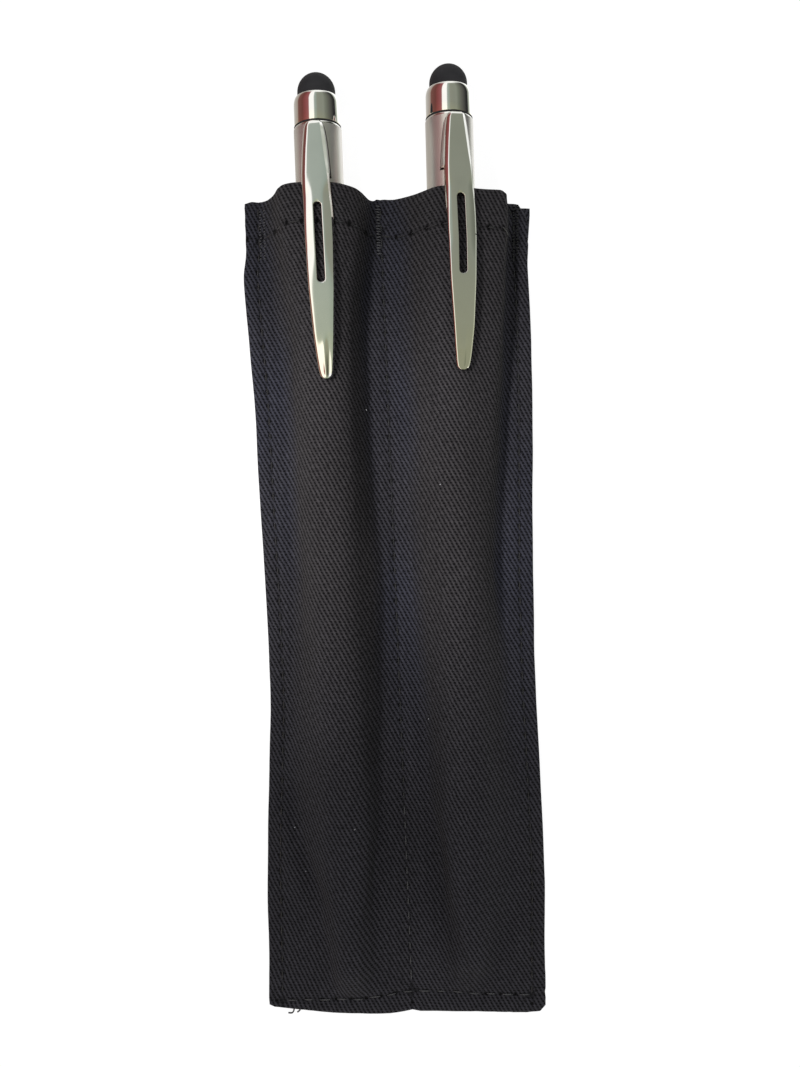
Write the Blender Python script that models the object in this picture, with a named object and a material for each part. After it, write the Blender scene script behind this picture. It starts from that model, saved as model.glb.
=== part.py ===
"""A twill pouch with two sewn pockets, each holding a twist-action stylus pen by its clip.

The pouch lies on its back with its mouth towards +Y and +Z up. Its two panels meet at the sides, at
the bottom and along a centre seam. Each pen has an empty at its nose, whose +Z runs up the pen's axis
and whose +X points where the clip stands. A pen's pieces are turned or lofted in that frame, so a
height in them is a distance from the nose.
"""

import math
from typing import NamedTuple

import bmesh
import bpy
import numpy as np
from mathutils import Matrix, Vector

MM = 0.001
FULL_TURN = 2 * math.pi
MERGE_DISTANCE = 0.01 * MM

# Clearances
RUN_GAP = 0.3 * MM
SNUG_GAP = 0.25 * MM
PRESS_GAP = 0.15 * MM
SEWN_GAP = 0.05 * MM
OVERRUN = 1.0 * MM

# Pouch
POUCH_LENGTH = 132.1 * MM
MOUTH_WIDTH = 46.6 * MM
BOTTOM_WIDTH = 45.5 * MM
SIDE_LEAN = 3.25 * MM
LEFT_WAIST = 1.5 * MM
RIGHT_WAIST = 0.9 * MM
WAIST_POWER = 1.5
CLOTH = 0.3 * MM
HEM_DEPTH = 6.5 * MM
SIDE_TURN = 5.0 * MM
TURN_STEP = 0.3 * MM
CORNER_RADIUS = 3.0 * MM
SEAM_OFFSET_AT_MOUTH = -1.3 * MM
SEAM_OFFSET_AT_BOTTOM = 0.75 * MM
SEAM_WIDTH = 1.2 * MM
POCKET_SQUARENESS = 2.5
POCKET_FLARE_LENGTH = 60.0 * MM
POCKET_SNUG_REACH = 6.4 * MM
POCKET_END_REACH_SHARE = 0.4
POCKET_ARC_STEPS = 14
POCKET_STATIONS = 12
NOSE_STATIONS = 7
CORNER_STATIONS = 4
BACK_STATIONS = 9
MITRE_SHARE_MIN = 0.7

# Bar tacks
TACK_LENGTH = 8.4 * MM
TACK_WIDTH = 1.0 * MM
TACK_THICKNESS = 0.5 * MM
TACK_INSET = 2.1 * MM
TACK_FROM_MOUTH = 0.3 * MM
TACK_STEPS = 8
TACK_RISE_SHARES = (0.5, 0.85, 1.0, 1.0, 0.85, 0.5)
TACK_END_SHARES = (0.0, 0.04, 0.1, 0.9, 0.96, 1.0)

# Pens
PEN_LENGTH = 140.0 * MM
BARREL_RADIUS = 3.85 * MM
BARREL_WALL = 0.5 * MM
BARREL_EDGE = 0.15 * MM
PEN_SIDES = 32
INNER_SIDES = 20
SLOT_STEPS = 8

# Stylus end
DOME_RADIUS = 3.05 * MM
DOME_WALL = 0.6 * MM
DOME_SKIRT = 3.6 * MM
COLLAR_BOTTOM = 131.4 * MM
COLLAR_TOP = 135.9 * MM
COLLAR_RADIUS = 3.7 * MM
COLLAR_TOP_RADIUS = 3.66 * MM
COLLAR_FILLET = 0.45 * MM
COLLAR_FLOOR = 1.3 * MM
COLLAR_JOINT = 0.2 * MM
SPIGOT_LENGTH = 0.6 * MM
ANVIL_RADIUS = 2.6 * MM
ANVIL_LENGTH = 4.4 * MM
DOME_STEPS = 8
THIMBLE_STEPS = 6
CORE_STEPS = 5
FILLET_STEPS = 4

# Clip and its slot in the barrel
CLIP_SLOT_TOP = 130.8 * MM
CLIP_SLOT_LENGTH = 8.9 * MM
CLIP_SLOT_WIDTH = 4.1 * MM
CLIP_TIP = 90.0 * MM
CLIP_FACE_RADIUS = 5.8 * MM
CLIP_THICKNESS = 0.5 * MM
CLIP_WIDTH = 4.6 * MM
CLIP_ROOT_RADIUS = 2.9 * MM
CLIP_BROW = 2.0 * MM
CLIP_EDGE = 0.45 * MM
CLIP_EDGE_CUT_SHARE = 0.3
CLIP_CROWN = 0.12 * MM
CLIP_LIP = 0.15 * MM
CLIP_LEAST_LIP_SHARE = 0.25
CLIP_WINDOW_TOP = 117.5 * MM
CLIP_WINDOW_LENGTH = 12.1 * MM
CLIP_WINDOW_WIDTH = 1.1 * MM
CLIP_HINGE_HEIGHT = 127.0 * MM
CLIP_STATIONS = 18
CLIP_ARCH_DEG = 75.0
CLIP_ARCH_STEPS = 5
CLIP_WIDTH_SHARES = (
    (0.0, 0.7),
    (0.135, 0.8),
    (0.3, 1.0),
    (0.48, 0.97),
    (0.62, 0.88),
    (0.74, 0.77),
    (0.85, 0.6),
    (0.94, 0.45),
    (0.985, 0.36),
    (1.0, 0.24),
)

# Barrel joint and lower half
CENTRE_RING_BOTTOM = 66.6 * MM
CENTRE_RING_LENGTH = 2.4 * MM
CENTRE_RING_RADIUS = 3.95 * MM
CENTRE_RING_SPIGOT = 3.5 * MM
LOWER_BARREL_FOOT_RADIUS = 3.75 * MM
NOSE_CONE_LENGTH = 20.0 * MM
NOSE_SPIGOT = 6.0 * MM
NOSE_TIP_RADIUS = 1.6 * MM
NOSE_TIP_FILLET = 0.3 * MM
NOSE_BULGE = 0.25 * MM
NOSE_THROAT = 3.0 * MM
NOSE_STEPS = 6

# Twist action
TWIST_DEG = 180.0
REFILL_TRAVEL = 5.0 * MM
SLEEVE_WALL = 0.45 * MM
SLEEVE_LENGTH = 22.0 * MM
DRIVE_RADIUS = 2.4 * MM
DRIVE_WALL = 0.45 * MM
DRIVE_FOOT = 60.0 * MM
DRIVE_FLANGE = 4.0 * MM
DRIVE_TOP = 94.0 * MM
PIN_HEIGHT = 86.0 * MM
PIN_RADIUS = 0.5 * MM
PIN_SIDES = 16
HELIX_STEPS = 18
FOLLOWER_LENGTH = 6.0 * MM
FOLLOWER_SPIGOT = 3.5 * MM

# Refill
REFILL_RADIUS = 1.5 * MM
REFILL_WALL = 0.25 * MM
REFILL_FOOT = 12.0 * MM
POINT_TIP = 2.2 * MM
BALL_RADIUS = 0.35 * MM
POINT_RADIUS = 0.85 * MM
POINT_NECK = 5.0 * MM
POINT_SPIGOT = 4.0 * MM


# Where each pen lies, and how far the mouth stands open on its two sides
LEFT_SEAM_DISTANCE = -9.45 * MM
LEFT_STANDS_OUT = 19.8 * MM
LEFT_LEAN_DEG = 2.2
LEFT_CLIP_ROLL_DEG = -1.0
LEFT_PEN_LEFT_REACH = 9.4 * MM
LEFT_PEN_RIGHT_REACH = 7.6 * MM
RIGHT_SEAM_DISTANCE = 11.63 * MM
RIGHT_STANDS_OUT = 21.2 * MM
RIGHT_LEAN_DEG = 1.43
RIGHT_CLIP_ROLL_DEG = 8.0
RIGHT_PEN_LEFT_REACH = 9.4 * MM
RIGHT_PEN_RIGHT_REACH = 8.8 * MM


class Pen(NamedTuple):
    """What differs between the two pens, and how wide the cloth stands round each at the mouth."""

    side: str
    seam_distance: float
    lean_deg: float
    stands_out: float
    clip_roll_deg: float
    reach_left: float
    reach_right: float


LEFT_PEN = Pen(
    "left",
    LEFT_SEAM_DISTANCE,
    LEFT_LEAN_DEG,
    LEFT_STANDS_OUT,
    LEFT_CLIP_ROLL_DEG,
    LEFT_PEN_LEFT_REACH,
    LEFT_PEN_RIGHT_REACH,
)
RIGHT_PEN = Pen(
    "right",
    RIGHT_SEAM_DISTANCE,
    RIGHT_LEAN_DEG,
    RIGHT_STANDS_OUT,
    RIGHT_CLIP_ROLL_DEG,
    RIGHT_PEN_LEFT_REACH,
    RIGHT_PEN_RIGHT_REACH,
)
PENS = (LEFT_PEN, RIGHT_PEN)

# Places that follow from the sizes
HEM = 2 * CLOTH
OVERALL_LENGTH = POUCH_LENGTH + max(pen.stands_out for pen in PENS)
BOTTOM_Y = -OVERALL_LENGTH / 2
MOUTH_Y = BOTTOM_Y + POUCH_LENGTH
POCKET_RADIUS = CENTRE_RING_RADIUS + SNUG_GAP
AXIS_HEIGHT = HEM + POCKET_RADIUS
BORE_RADIUS = BARREL_RADIUS - BARREL_WALL
SPIGOT_RADIUS = BORE_RADIUS - RUN_GAP
BARREL_TOP = COLLAR_BOTTOM - COLLAR_JOINT
DOME_CENTRE = PEN_LENGTH - DOME_RADIUS
CLIP_TOP = CLIP_SLOT_TOP - RUN_GAP
CLIP_SLOT_FOOT = CLIP_SLOT_TOP - CLIP_SLOT_LENGTH
CLIP_ROOT_FOOT = CLIP_SLOT_FOOT + RUN_GAP
CLIP_ARCH_RADIUS = CLIP_SLOT_WIDTH / 2 - RUN_GAP
CLIP_ARCH_CENTRE = CLIP_TOP - CLIP_ARCH_RADIUS
DRIVE_BORE = DRIVE_RADIUS - DRIVE_WALL
FOLLOWER_RADIUS = DRIVE_BORE - SNUG_GAP
REFILL_BORE = REFILL_RADIUS - REFILL_WALL
REFILL_TOP = PIN_HEIGHT - FOLLOWER_LENGTH / 2 - PRESS_GAP


def material(name, colour, roughness, metallic=0.0):
    """A Principled material with this base colour, roughness and metallic value."""
    made = bpy.data.materials.new(name)
    made.use_nodes = True
    shader = made.node_tree.nodes["Principled BSDF"]
    shader.inputs["Base Color"].default_value = (*colour, 1)
    shader.inputs["Roughness"].default_value = roughness
    shader.inputs["Metallic"].default_value = metallic
    return made


def add_object(name, mesh, finish=None, parent=None, location=(0, 0, 0)):
    """Links the mesh to the scene as an object of this name, under its parent."""
    made = bpy.data.objects.new(name, mesh)
    bpy.context.scene.collection.objects.link(made)
    made.parent = parent
    made.location = location
    if finish:
        mesh.materials.append(finish)
    return made


def finish_mesh(name, bm):
    """Turns the faces outwards and shades the curved ones smooth."""
    bmesh.ops.recalc_face_normals(bm, faces=bm.faces)
    mesh = bpy.data.meshes.new(name)
    bm.to_mesh(mesh)
    bm.free()
    mesh.shade_smooth()
    mesh.set_sharp_from_angle(angle=math.radians(35))
    return mesh


def lofted_mesh(name, sections):
    """Closed sections with equal counts of points, bridged one to the next and capped."""
    bm = bmesh.new()
    rings = [[bm.verts.new(point) for point in section] for section in sections]
    for lower, upper in zip(rings, rings[1:]):
        for index, vertex in enumerate(lower):
            after = (index + 1) % len(lower)
            bm.faces.new((vertex, lower[after], upper[after], upper[index]))
    bm.faces.new(rings[0])
    bm.faces.new(rings[-1])
    return finish_mesh(name, bm)


def prism_mesh(name, outline, along):
    """A flat outline extruded by the vector along."""
    far = [Vector(point) + along for point in outline]
    return lofted_mesh(name, (outline, far))


def turned(name, profile, finish, parent, sides=PEN_SIDES):
    """A profile of (radius, height) points turned round the parent's axis.

    It runs down the outer side and up the inner one. One that starts and ends on the axis stays open,
    and any other is closed to a ring.
    """
    bm = bmesh.new()
    points = [bm.verts.new((radius, 0, height)) for radius, height in profile]
    for first, second in zip(points, points[1:]):
        bm.edges.new((first, second))
    if profile[0][0] > 0:
        bm.edges.new((points[-1], points[0]))
    mesh = bpy.data.meshes.new(name)
    bm.to_mesh(mesh)
    bm.free()
    made = add_object(name, mesh, finish, parent)
    screw = made.modifiers.new("Turn", "SCREW")
    screw.steps = sides
    screw.render_steps = sides
    screw.use_merge_vertices = True
    screw.merge_threshold = MERGE_DISTANCE
    screw.use_smooth_shade = True
    return made


def arc(radius, height, size, start_deg, end_deg, steps):
    """Points of (radius, height) along an arc, whose angle opens from the outward direction up."""
    angles = np.radians(np.linspace(start_deg, end_deg, steps + 1))
    return [(radius + size * math.cos(a), height + size * math.sin(a)) for a in angles]


def cut(target, cutter, operation="DIFFERENCE"):
    """Cuts the target with a mesh that stays hidden."""
    cutter.hide_render = True
    cutter.display_type = "WIRE"
    boolean = target.modifiers.new(cutter.name, "BOOLEAN")
    boolean.operation = operation
    boolean.object = cutter


def slot_outline(distance, width, top, foot, square_foot=False):
    """A slot seen from outside the pen, with a round top and a round or square foot."""
    half = width / 2
    upper = [
        (distance, half * math.cos(a), top - half + half * math.sin(a))
        for a in np.linspace(0, math.pi, SLOT_STEPS)
    ]
    if square_foot:
        return upper + [(distance, -half, foot), (distance, half, foot)]
    lower = [
        (distance, half * math.cos(a), foot + half + half * math.sin(a))
        for a in np.linspace(math.pi, FULL_TURN, SLOT_STEPS)
    ]
    return upper + lower


def side_x(y, side):
    """Where the pouch's side edge runs, with side -1 on the left and 1 on the right.

    The pens draw the cloth in, so the edges curve in towards the middle of the pouch's length.
    """
    share = (y - BOTTOM_Y) / POUCH_LENGTH
    waist = LEFT_WAIST if side < 0 else RIGHT_WAIST
    drawn_in = waist * max(0, math.sin(math.pi * share)) ** WAIST_POWER
    middle = (MOUTH_WIDTH - BOTTOM_WIDTH) / 4 + SIDE_LEAN * (0.5 - share)
    width = BOTTOM_WIDTH + (MOUTH_WIDTH - BOTTOM_WIDTH) * share
    corner = max(0, CORNER_RADIUS - (y - BOTTOM_Y))
    inset = CORNER_RADIUS - math.sqrt(CORNER_RADIUS**2 - corner**2)
    return middle + side * (width / 2 - inset - drawn_in)


def seam_x(y):
    """Where the centre seam runs."""
    share = (y - BOTTOM_Y) / POUCH_LENGTH
    middle = (side_x(MOUTH_Y, -1) + side_x(MOUTH_Y, 1)) / 2
    bottom = (MOUTH_WIDTH - BOTTOM_WIDTH) / 4 + SIDE_LEAN / 2
    at_mouth = middle + SEAM_OFFSET_AT_MOUTH
    at_bottom = bottom + SEAM_OFFSET_AT_BOTTOM
    return at_bottom + (at_mouth - at_bottom) * share


def pen_nose(pen):
    """Where the pen's nose lies."""
    lean = math.radians(pen.lean_deg)
    nose_y = MOUTH_Y + pen.stands_out - PEN_LENGTH * math.cos(lean)
    nose_x = seam_x(MOUTH_Y) + pen.seam_distance + math.tan(lean) * (MOUTH_Y - nose_y)
    return Vector((nose_x, nose_y, AXIS_HEIGHT))


def pocket_of(pen, y):
    """The pocket round the pen at this place: its middle, its reach each way and its inner top."""
    nose = pen_nose(pen)
    height = (y - nose.y) / math.cos(math.radians(pen.lean_deg))
    middle = nose.x - math.tan(math.radians(pen.lean_deg)) * (y - nose.y)
    flare = min(1, max(0, 1 - (MOUTH_Y - y) / POCKET_FLARE_LENGTH))
    narrow = 1.0
    full_top = AXIS_HEIGHT + POCKET_RADIUS
    tip_top = AXIS_HEIGHT + NOSE_TIP_RADIUS + RUN_GAP
    top = full_top
    pocket_end = BOTTOM_Y + SIDE_TURN
    if height < NOSE_CONE_LENGTH:
        share = (height + REFILL_TRAVEL) / (NOSE_CONE_LENGTH + REFILL_TRAVEL)
        top = tip_top + (full_top - tip_top) * share
        narrow = share + (1 - share) * (1 + POCKET_END_REACH_SHARE) / 2
    if height < -REFILL_TRAVEL:
        tip_y = nose.y - REFILL_TRAVEL * math.cos(math.radians(pen.lean_deg))
        share = max(0, (y - pocket_end) / (tip_y - pocket_end))
        top = tip_top * share
        narrow = (1 + share) * POCKET_END_REACH_SHARE / 2 + share / 2
    left = (POCKET_SNUG_REACH + (pen.reach_left - POCKET_SNUG_REACH) * flare) * narrow
    right = (POCKET_SNUG_REACH + (pen.reach_right - POCKET_SNUG_REACH) * flare) * narrow
    return middle, left, right, top


def pocket_arc(pen, y, left_floor, right_floor):
    """Points of (x, z) over the pen, on a squared-off arch from the left floor to the right one."""
    middle, left, right, top = pocket_of(pen, y)
    power = 2 / POCKET_SQUARENESS
    points = []
    for angle in np.linspace(0, math.pi, POCKET_ARC_STEPS + 1):
        across = abs(math.cos(angle)) ** power
        rise = max(0, math.sin(angle)) ** power
        on_left = angle < math.pi / 2
        floor = left_floor if on_left else right_floor
        x = middle - left * across if on_left else middle + right * across
        points.append((x, floor + max(0, top - floor) * rise))
    return points


def offset_up(points, sizes):
    """The points moved square to their line by these sizes, mitred where the line turns."""
    moved = []
    for index, (x, z) in enumerate(points):
        before = np.subtract(points[index], points[max(0, index - 1)])
        after = np.subtract(points[min(len(points) - 1, index + 1)], points[index])
        before, after = (v / (np.linalg.norm(v) or 1) for v in (before, after))
        normal = np.array((-(before + after)[1], (before + after)[0]))
        normal /= np.linalg.norm(normal)
        along = after if index == 0 else before
        mitre = max(MITRE_SHARE_MIN, abs(normal[0] * along[1] - normal[1] * along[0]))
        moved.append((x + normal[0] * sizes[index] / mitre, z + normal[1] * sizes[index] / mitre))
    return moved


def front_section(y, doubled):
    """The front panel's closed section across the pouch, where it is doubled by a hem or a turn or not."""
    left_edge, right_edge = side_x(y, -1), side_x(y, 1)
    edge_floor = HEM + SEWN_GAP
    seam_floor = edge_floor if doubled else CLOTH + SEWN_GAP
    inner = [(left_edge, edge_floor)]
    inner += pocket_arc(LEFT_PEN, y, edge_floor, seam_floor)
    inner += [(seam_x(y) - SEAM_WIDTH / 2, seam_floor), (seam_x(y) + SEAM_WIDTH / 2, seam_floor)]
    inner += pocket_arc(RIGHT_PEN, y, seam_floor, edge_floor)
    inner.append((right_edge, edge_floor))
    sizes = [
        HEM if doubled or x < left_edge + SIDE_TURN or x > right_edge - SIDE_TURN else CLOTH
        for x, z in inner
    ]
    outer = offset_up(inner, sizes)
    outer[0] = (left_edge, edge_floor + HEM)
    outer[-1] = (right_edge, edge_floor + HEM)
    return [(x, y, z) for x, z in outer + inner[::-1]]


def corner_places():
    """Distances from the bottom that round its corners off."""
    angles = np.linspace(0, math.pi / 2, CORNER_STATIONS + 1)[1:]
    return [CORNER_RADIUS * (1 - math.cos(a)) for a in angles]


def front_panel(finish):
    """The front panel: one cloth with its hem and its turned edges, raised into two pockets."""
    hem_y = MOUTH_Y - HEM_DEPTH
    nose_y = max(pen_nose(pen).y for pen in PENS) + NOSE_CONE_LENGTH
    pocket_end = BOTTOM_Y + SIDE_TURN
    places = [(MOUTH_Y, True), (hem_y, True)]
    places += [(y, False) for y in np.linspace(hem_y - TURN_STEP, nose_y, POCKET_STATIONS)]
    places += [(y, False) for y in np.linspace(nose_y, pocket_end + TURN_STEP, NOSE_STATIONS)[1:]]
    places += [(pocket_end, True)]
    places += [(BOTTOM_Y + rise, True) for rise in corner_places()[::-1]]
    places += [(BOTTOM_Y, True)]
    sections = [front_section(y, doubled) for y, doubled in places]
    return add_object("front_panel", lofted_mesh("front_panel", sections), finish)


def back_section(y, doubled):
    """The back panel's closed section, flat below, thicker where the cloth is turned in."""
    left_edge, right_edge = side_x(y, -1), side_x(y, 1)
    field = HEM if doubled else CLOTH
    upper = [
        (left_edge, HEM),
        (left_edge + SIDE_TURN, HEM),
        (left_edge + SIDE_TURN + TURN_STEP, field),
        (right_edge - SIDE_TURN - TURN_STEP, field),
        (right_edge - SIDE_TURN, HEM),
        (right_edge, HEM),
    ]
    return [(x, y, z) for x, z in upper] + [(x, y, 0) for x, z in upper[::-1]]


def back_panel(finish):
    """The back panel, which lies flat under the pens, with its hem and turned edges inside."""
    hem_y = MOUTH_Y - HEM_DEPTH
    pocket_end = BOTTOM_Y + SIDE_TURN
    places = [(MOUTH_Y, True), (hem_y, True)]
    places += [
        (y, False) for y in np.linspace(hem_y - TURN_STEP, pocket_end + TURN_STEP, BACK_STATIONS)
    ]
    places += [(pocket_end, True)]
    places += [(BOTTOM_Y + rise, True) for rise in corner_places()[::-1]]
    places += [(BOTTOM_Y, True)]
    sections = [back_section(y, doubled) for y, doubled in places]
    return add_object("back_panel", lofted_mesh("back_panel", sections), finish)


def bar_tack(name, x, floor, finish):
    """A bar of close stitches along the pouch, rounded over the top."""
    half = TACK_WIDTH / 2
    dome = [
        (half * math.cos(a), TACK_THICKNESS * math.sin(a))
        for a in np.linspace(0, math.pi, TACK_STEPS + 1)
    ]
    mouth_end = MOUTH_Y - TACK_FROM_MOUTH
    sections = [
        [
            (x + across * share, mouth_end - TACK_LENGTH * end, floor + SEWN_GAP + rise * share)
            for across, rise in dome
        ]
        for share, end in zip(TACK_RISE_SHARES, TACK_END_SHARES)
    ]
    return add_object(name, lofted_mesh(name, sections), finish)


def bar_tacks(finish):
    """The three tacks where the side rows and the centre row reach the mouth."""
    sewn_top = 2 * (HEM + SEWN_GAP) - SEWN_GAP
    bar_tack("bar_tack_left", side_x(MOUTH_Y, -1) + TACK_INSET, sewn_top, finish)
    bar_tack("bar_tack_centre", seam_x(MOUTH_Y), sewn_top, finish)
    bar_tack("bar_tack_right", side_x(MOUTH_Y, 1) - TACK_INSET, sewn_top, finish)


def pen_frame(pen):
    """The empty that carries the pen: its +Z is the pen's axis, and its +X points at the clip."""
    lean, roll = math.radians(pen.lean_deg), math.radians(pen.clip_roll_deg)
    along = Vector((-math.sin(lean), math.cos(lean), 0))
    across = Vector((math.cos(lean), math.sin(lean), 0))
    outward = math.cos(roll) * Vector((0, 0, 1)) + math.sin(roll) * across
    frame = add_object(f"pen_frame_{pen.side}", None)
    turn = Matrix((outward, along.cross(outward), along)).transposed().to_4x4()
    frame.matrix_world = Matrix.Translation(pen_nose(pen)) @ turn
    return frame


def stylus_tip(name, finish, frame):
    """The rubber thimble, whose skirt stands in the collar."""
    foot = DOME_CENTRE - DOME_SKIRT
    outer = arc(0, DOME_CENTRE, DOME_RADIUS, 90, 0, DOME_STEPS)
    inner = arc(0, DOME_CENTRE, DOME_RADIUS - DOME_WALL, 0, 90, THIMBLE_STEPS)
    outer[0], inner[-1] = (0, outer[0][1]), (0, inner[-1][1])
    walls = [(DOME_RADIUS, foot), (DOME_RADIUS - DOME_WALL, foot)]
    turned(name, outer + walls + inner, finish, frame)


def tip_core(name, finish, frame):
    """The plug that fills the rubber thimble and stands on the collar's floor."""
    radius = DOME_RADIUS - DOME_WALL - PRESS_GAP
    foot = COLLAR_BOTTOM + COLLAR_FLOOR + PRESS_GAP
    top = arc(0, DOME_CENTRE, radius, 90, 0, CORE_STEPS)
    top[0] = (0, top[0][1])
    turned(name, top + [(radius, foot), (0, foot)], finish, frame, INNER_SIDES)


def stylus_collar(name, finish, frame):
    """The bright collar: a cup for the rubber, with a spigot and an anvil down in the barrel."""
    cup = DOME_RADIUS + PRESS_GAP
    floor = COLLAR_BOTTOM + COLLAR_FLOOR
    shoulder = COLLAR_TOP_RADIUS - COLLAR_FILLET
    fillet = arc(shoulder, COLLAR_TOP - COLLAR_FILLET, COLLAR_FILLET, 90, 0, FILLET_STEPS)
    profile = [(0, floor), (cup, floor), (cup, COLLAR_TOP), *fillet[1:], (COLLAR_RADIUS, COLLAR_BOTTOM)]
    profile += [
        (SPIGOT_RADIUS, COLLAR_BOTTOM),
        (SPIGOT_RADIUS, COLLAR_BOTTOM - SPIGOT_LENGTH),
        (ANVIL_RADIUS, COLLAR_BOTTOM - SPIGOT_LENGTH),
        (ANVIL_RADIUS, COLLAR_BOTTOM - ANVIL_LENGTH),
        (0, COLLAR_BOTTOM - ANVIL_LENGTH),
    ]
    turned(name, profile, finish, frame)


def upper_barrel(name, finish, frame):
    """The barrel's upper tube, with the arched slot that the clip's root goes down in."""
    foot = CENTRE_RING_BOTTOM + CENTRE_RING_LENGTH + RUN_GAP
    profile = [
        (BARREL_RADIUS - BARREL_EDGE, BARREL_TOP),
        (BARREL_RADIUS, BARREL_TOP - BARREL_EDGE),
        (BARREL_RADIUS, foot),
        (BORE_RADIUS, foot),
        (BORE_RADIUS, BARREL_TOP),
    ]
    barrel = turned(name, profile, finish, frame)
    outline = slot_outline(
        ANVIL_RADIUS, CLIP_SLOT_WIDTH, CLIP_SLOT_TOP, CLIP_SLOT_FOOT, square_foot=True
    )
    reach = Vector((BARREL_RADIUS - ANVIL_RADIUS + OVERRUN, 0, 0))
    cutter = add_object(f"{name}_slot", prism_mesh(f"{name}_slot", outline, reach), parent=frame)
    cut(barrel, cutter)


def clip_section(height):
    """The clip's closed section at this height: a face with two flanges, deep where it is rooted."""
    share = (CLIP_TOP - height) / (CLIP_TOP - CLIP_TIP)
    half = CLIP_WIDTH / 2 * np.interp(share, *zip(*CLIP_WIDTH_SHARES))
    rise = max(0, height - CLIP_ARCH_CENTRE)
    half = min(half, math.sqrt(CLIP_ARCH_RADIUS**2 - rise**2))
    fall = max(0, height - (CLIP_TOP - CLIP_BROW))
    face = CLIP_FACE_RADIUS - CLIP_BROW + math.sqrt(max(0, CLIP_BROW**2 - fall**2))
    lowest = face - CLIP_THICKNESS - CLIP_LIP * max(0, 1 - share)
    foot = CLIP_ROOT_RADIUS if height >= CLIP_ROOT_FOOT else lowest
    edge = min(CLIP_EDGE, half / 2)
    wall = min(CLIP_THICKNESS, half / 2)
    ceiling = max(face - CLIP_THICKNESS, foot + CLIP_LIP * CLIP_LEAST_LIP_SHARE)
    cut_back = edge * CLIP_EDGE_CUT_SHARE
    right = [
        (foot, half),
        (face - edge, half),
        (face - cut_back, half - cut_back),
        (face, half - edge),
    ]
    under = [(ceiling, half - wall), (foot, half - wall)]
    crown = [(face + CLIP_CROWN, 0)]
    outer = right + crown + [(x, -y) for x, y in right[::-1]]
    inner = [(x, -y) for x, y in under[::-1]] + under
    return [(x, y, height) for x, y in outer + inner]


def clip(name, finish, frame):
    """The stamped clip, with its origin where it flexes, at the barrel's wall."""
    arch = np.radians(np.linspace(CLIP_ARCH_DEG, 0, CLIP_ARCH_STEPS + 1))
    root = [CLIP_ARCH_CENTRE + CLIP_ARCH_RADIUS * math.sin(angle) for angle in arch]
    root += [CLIP_ROOT_FOOT, CLIP_ROOT_FOOT - BARREL_EDGE]
    heights = root + list(np.linspace(root[-1], CLIP_TIP, CLIP_STATIONS))[1:]
    pivot = Vector((BARREL_RADIUS - BARREL_WALL / 2, 0, CLIP_HINGE_HEIGHT))
    sections = [[Vector(point) - pivot for point in clip_section(h)] for h in heights]
    made = add_object(name, lofted_mesh(name, sections), finish, frame, pivot)
    window = slot_outline(
        CLIP_FACE_RADIUS - CLIP_THICKNESS - OVERRUN,
        CLIP_WINDOW_WIDTH,
        CLIP_WINDOW_TOP,
        CLIP_WINDOW_TOP - CLIP_WINDOW_LENGTH,
    )
    reach = Vector((CLIP_THICKNESS + 2 * OVERRUN, 0, 0))
    cutter = add_object(f"{name}_window", prism_mesh(f"{name}_window", window, reach), parent=frame)
    cut(made, cutter)


def centre_ring(name, finish, frame):
    """The bright ring between the barrel's halves, held by a spigot in the upper one."""
    top = CENTRE_RING_BOTTOM + CENTRE_RING_LENGTH
    bore = DRIVE_RADIUS + RUN_GAP
    profile = [
        (SPIGOT_RADIUS, top + CENTRE_RING_SPIGOT),
        (SPIGOT_RADIUS, top),
        (CENTRE_RING_RADIUS - BARREL_EDGE, top),
        (CENTRE_RING_RADIUS, top - BARREL_EDGE),
        (CENTRE_RING_RADIUS, CENTRE_RING_BOTTOM + BARREL_EDGE),
        (CENTRE_RING_RADIUS - BARREL_EDGE, CENTRE_RING_BOTTOM),
        (bore, CENTRE_RING_BOTTOM),
        (bore, top + CENTRE_RING_SPIGOT),
    ]
    turned(name, profile, finish, frame)


def lower_barrel(name, finish, frame):
    """The barrel's lower tube, which turns for the refill."""
    top = CENTRE_RING_BOTTOM - RUN_GAP
    foot = NOSE_CONE_LENGTH + RUN_GAP
    profile = [
        (BARREL_RADIUS, top),
        (LOWER_BARREL_FOOT_RADIUS, foot),
        (BORE_RADIUS, foot),
        (BORE_RADIUS, top),
    ]
    turned(name, profile, finish, frame)


def nose_cone(name, finish, frame):
    """The nose: a full cone outside, a throat for the point, and a spigot up in the barrel."""
    throat = POINT_RADIUS + RUN_GAP
    bore = REFILL_RADIUS + RUN_GAP
    shares = np.linspace(1, 0, NOSE_STEPS + 1)
    rise = LOWER_BARREL_FOOT_RADIUS - NOSE_TIP_RADIUS
    cone = [
        (
            NOSE_TIP_RADIUS + rise * share + NOSE_BULGE * math.sin(math.pi * share),
            NOSE_TIP_FILLET + (NOSE_CONE_LENGTH - NOSE_TIP_FILLET) * share,
        )
        for share in shares
    ]
    top = NOSE_CONE_LENGTH + NOSE_SPIGOT
    profile = [(SPIGOT_RADIUS, top), (SPIGOT_RADIUS, NOSE_CONE_LENGTH), *cone]
    profile += [
        (NOSE_TIP_RADIUS - NOSE_TIP_FILLET, 0),
        (throat, 0),
        (throat, NOSE_THROAT),
        (bore, NOSE_THROAT + bore - throat),
        (bore, top),
    ]
    turned(name, profile, finish, frame, INNER_SIDES)


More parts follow.
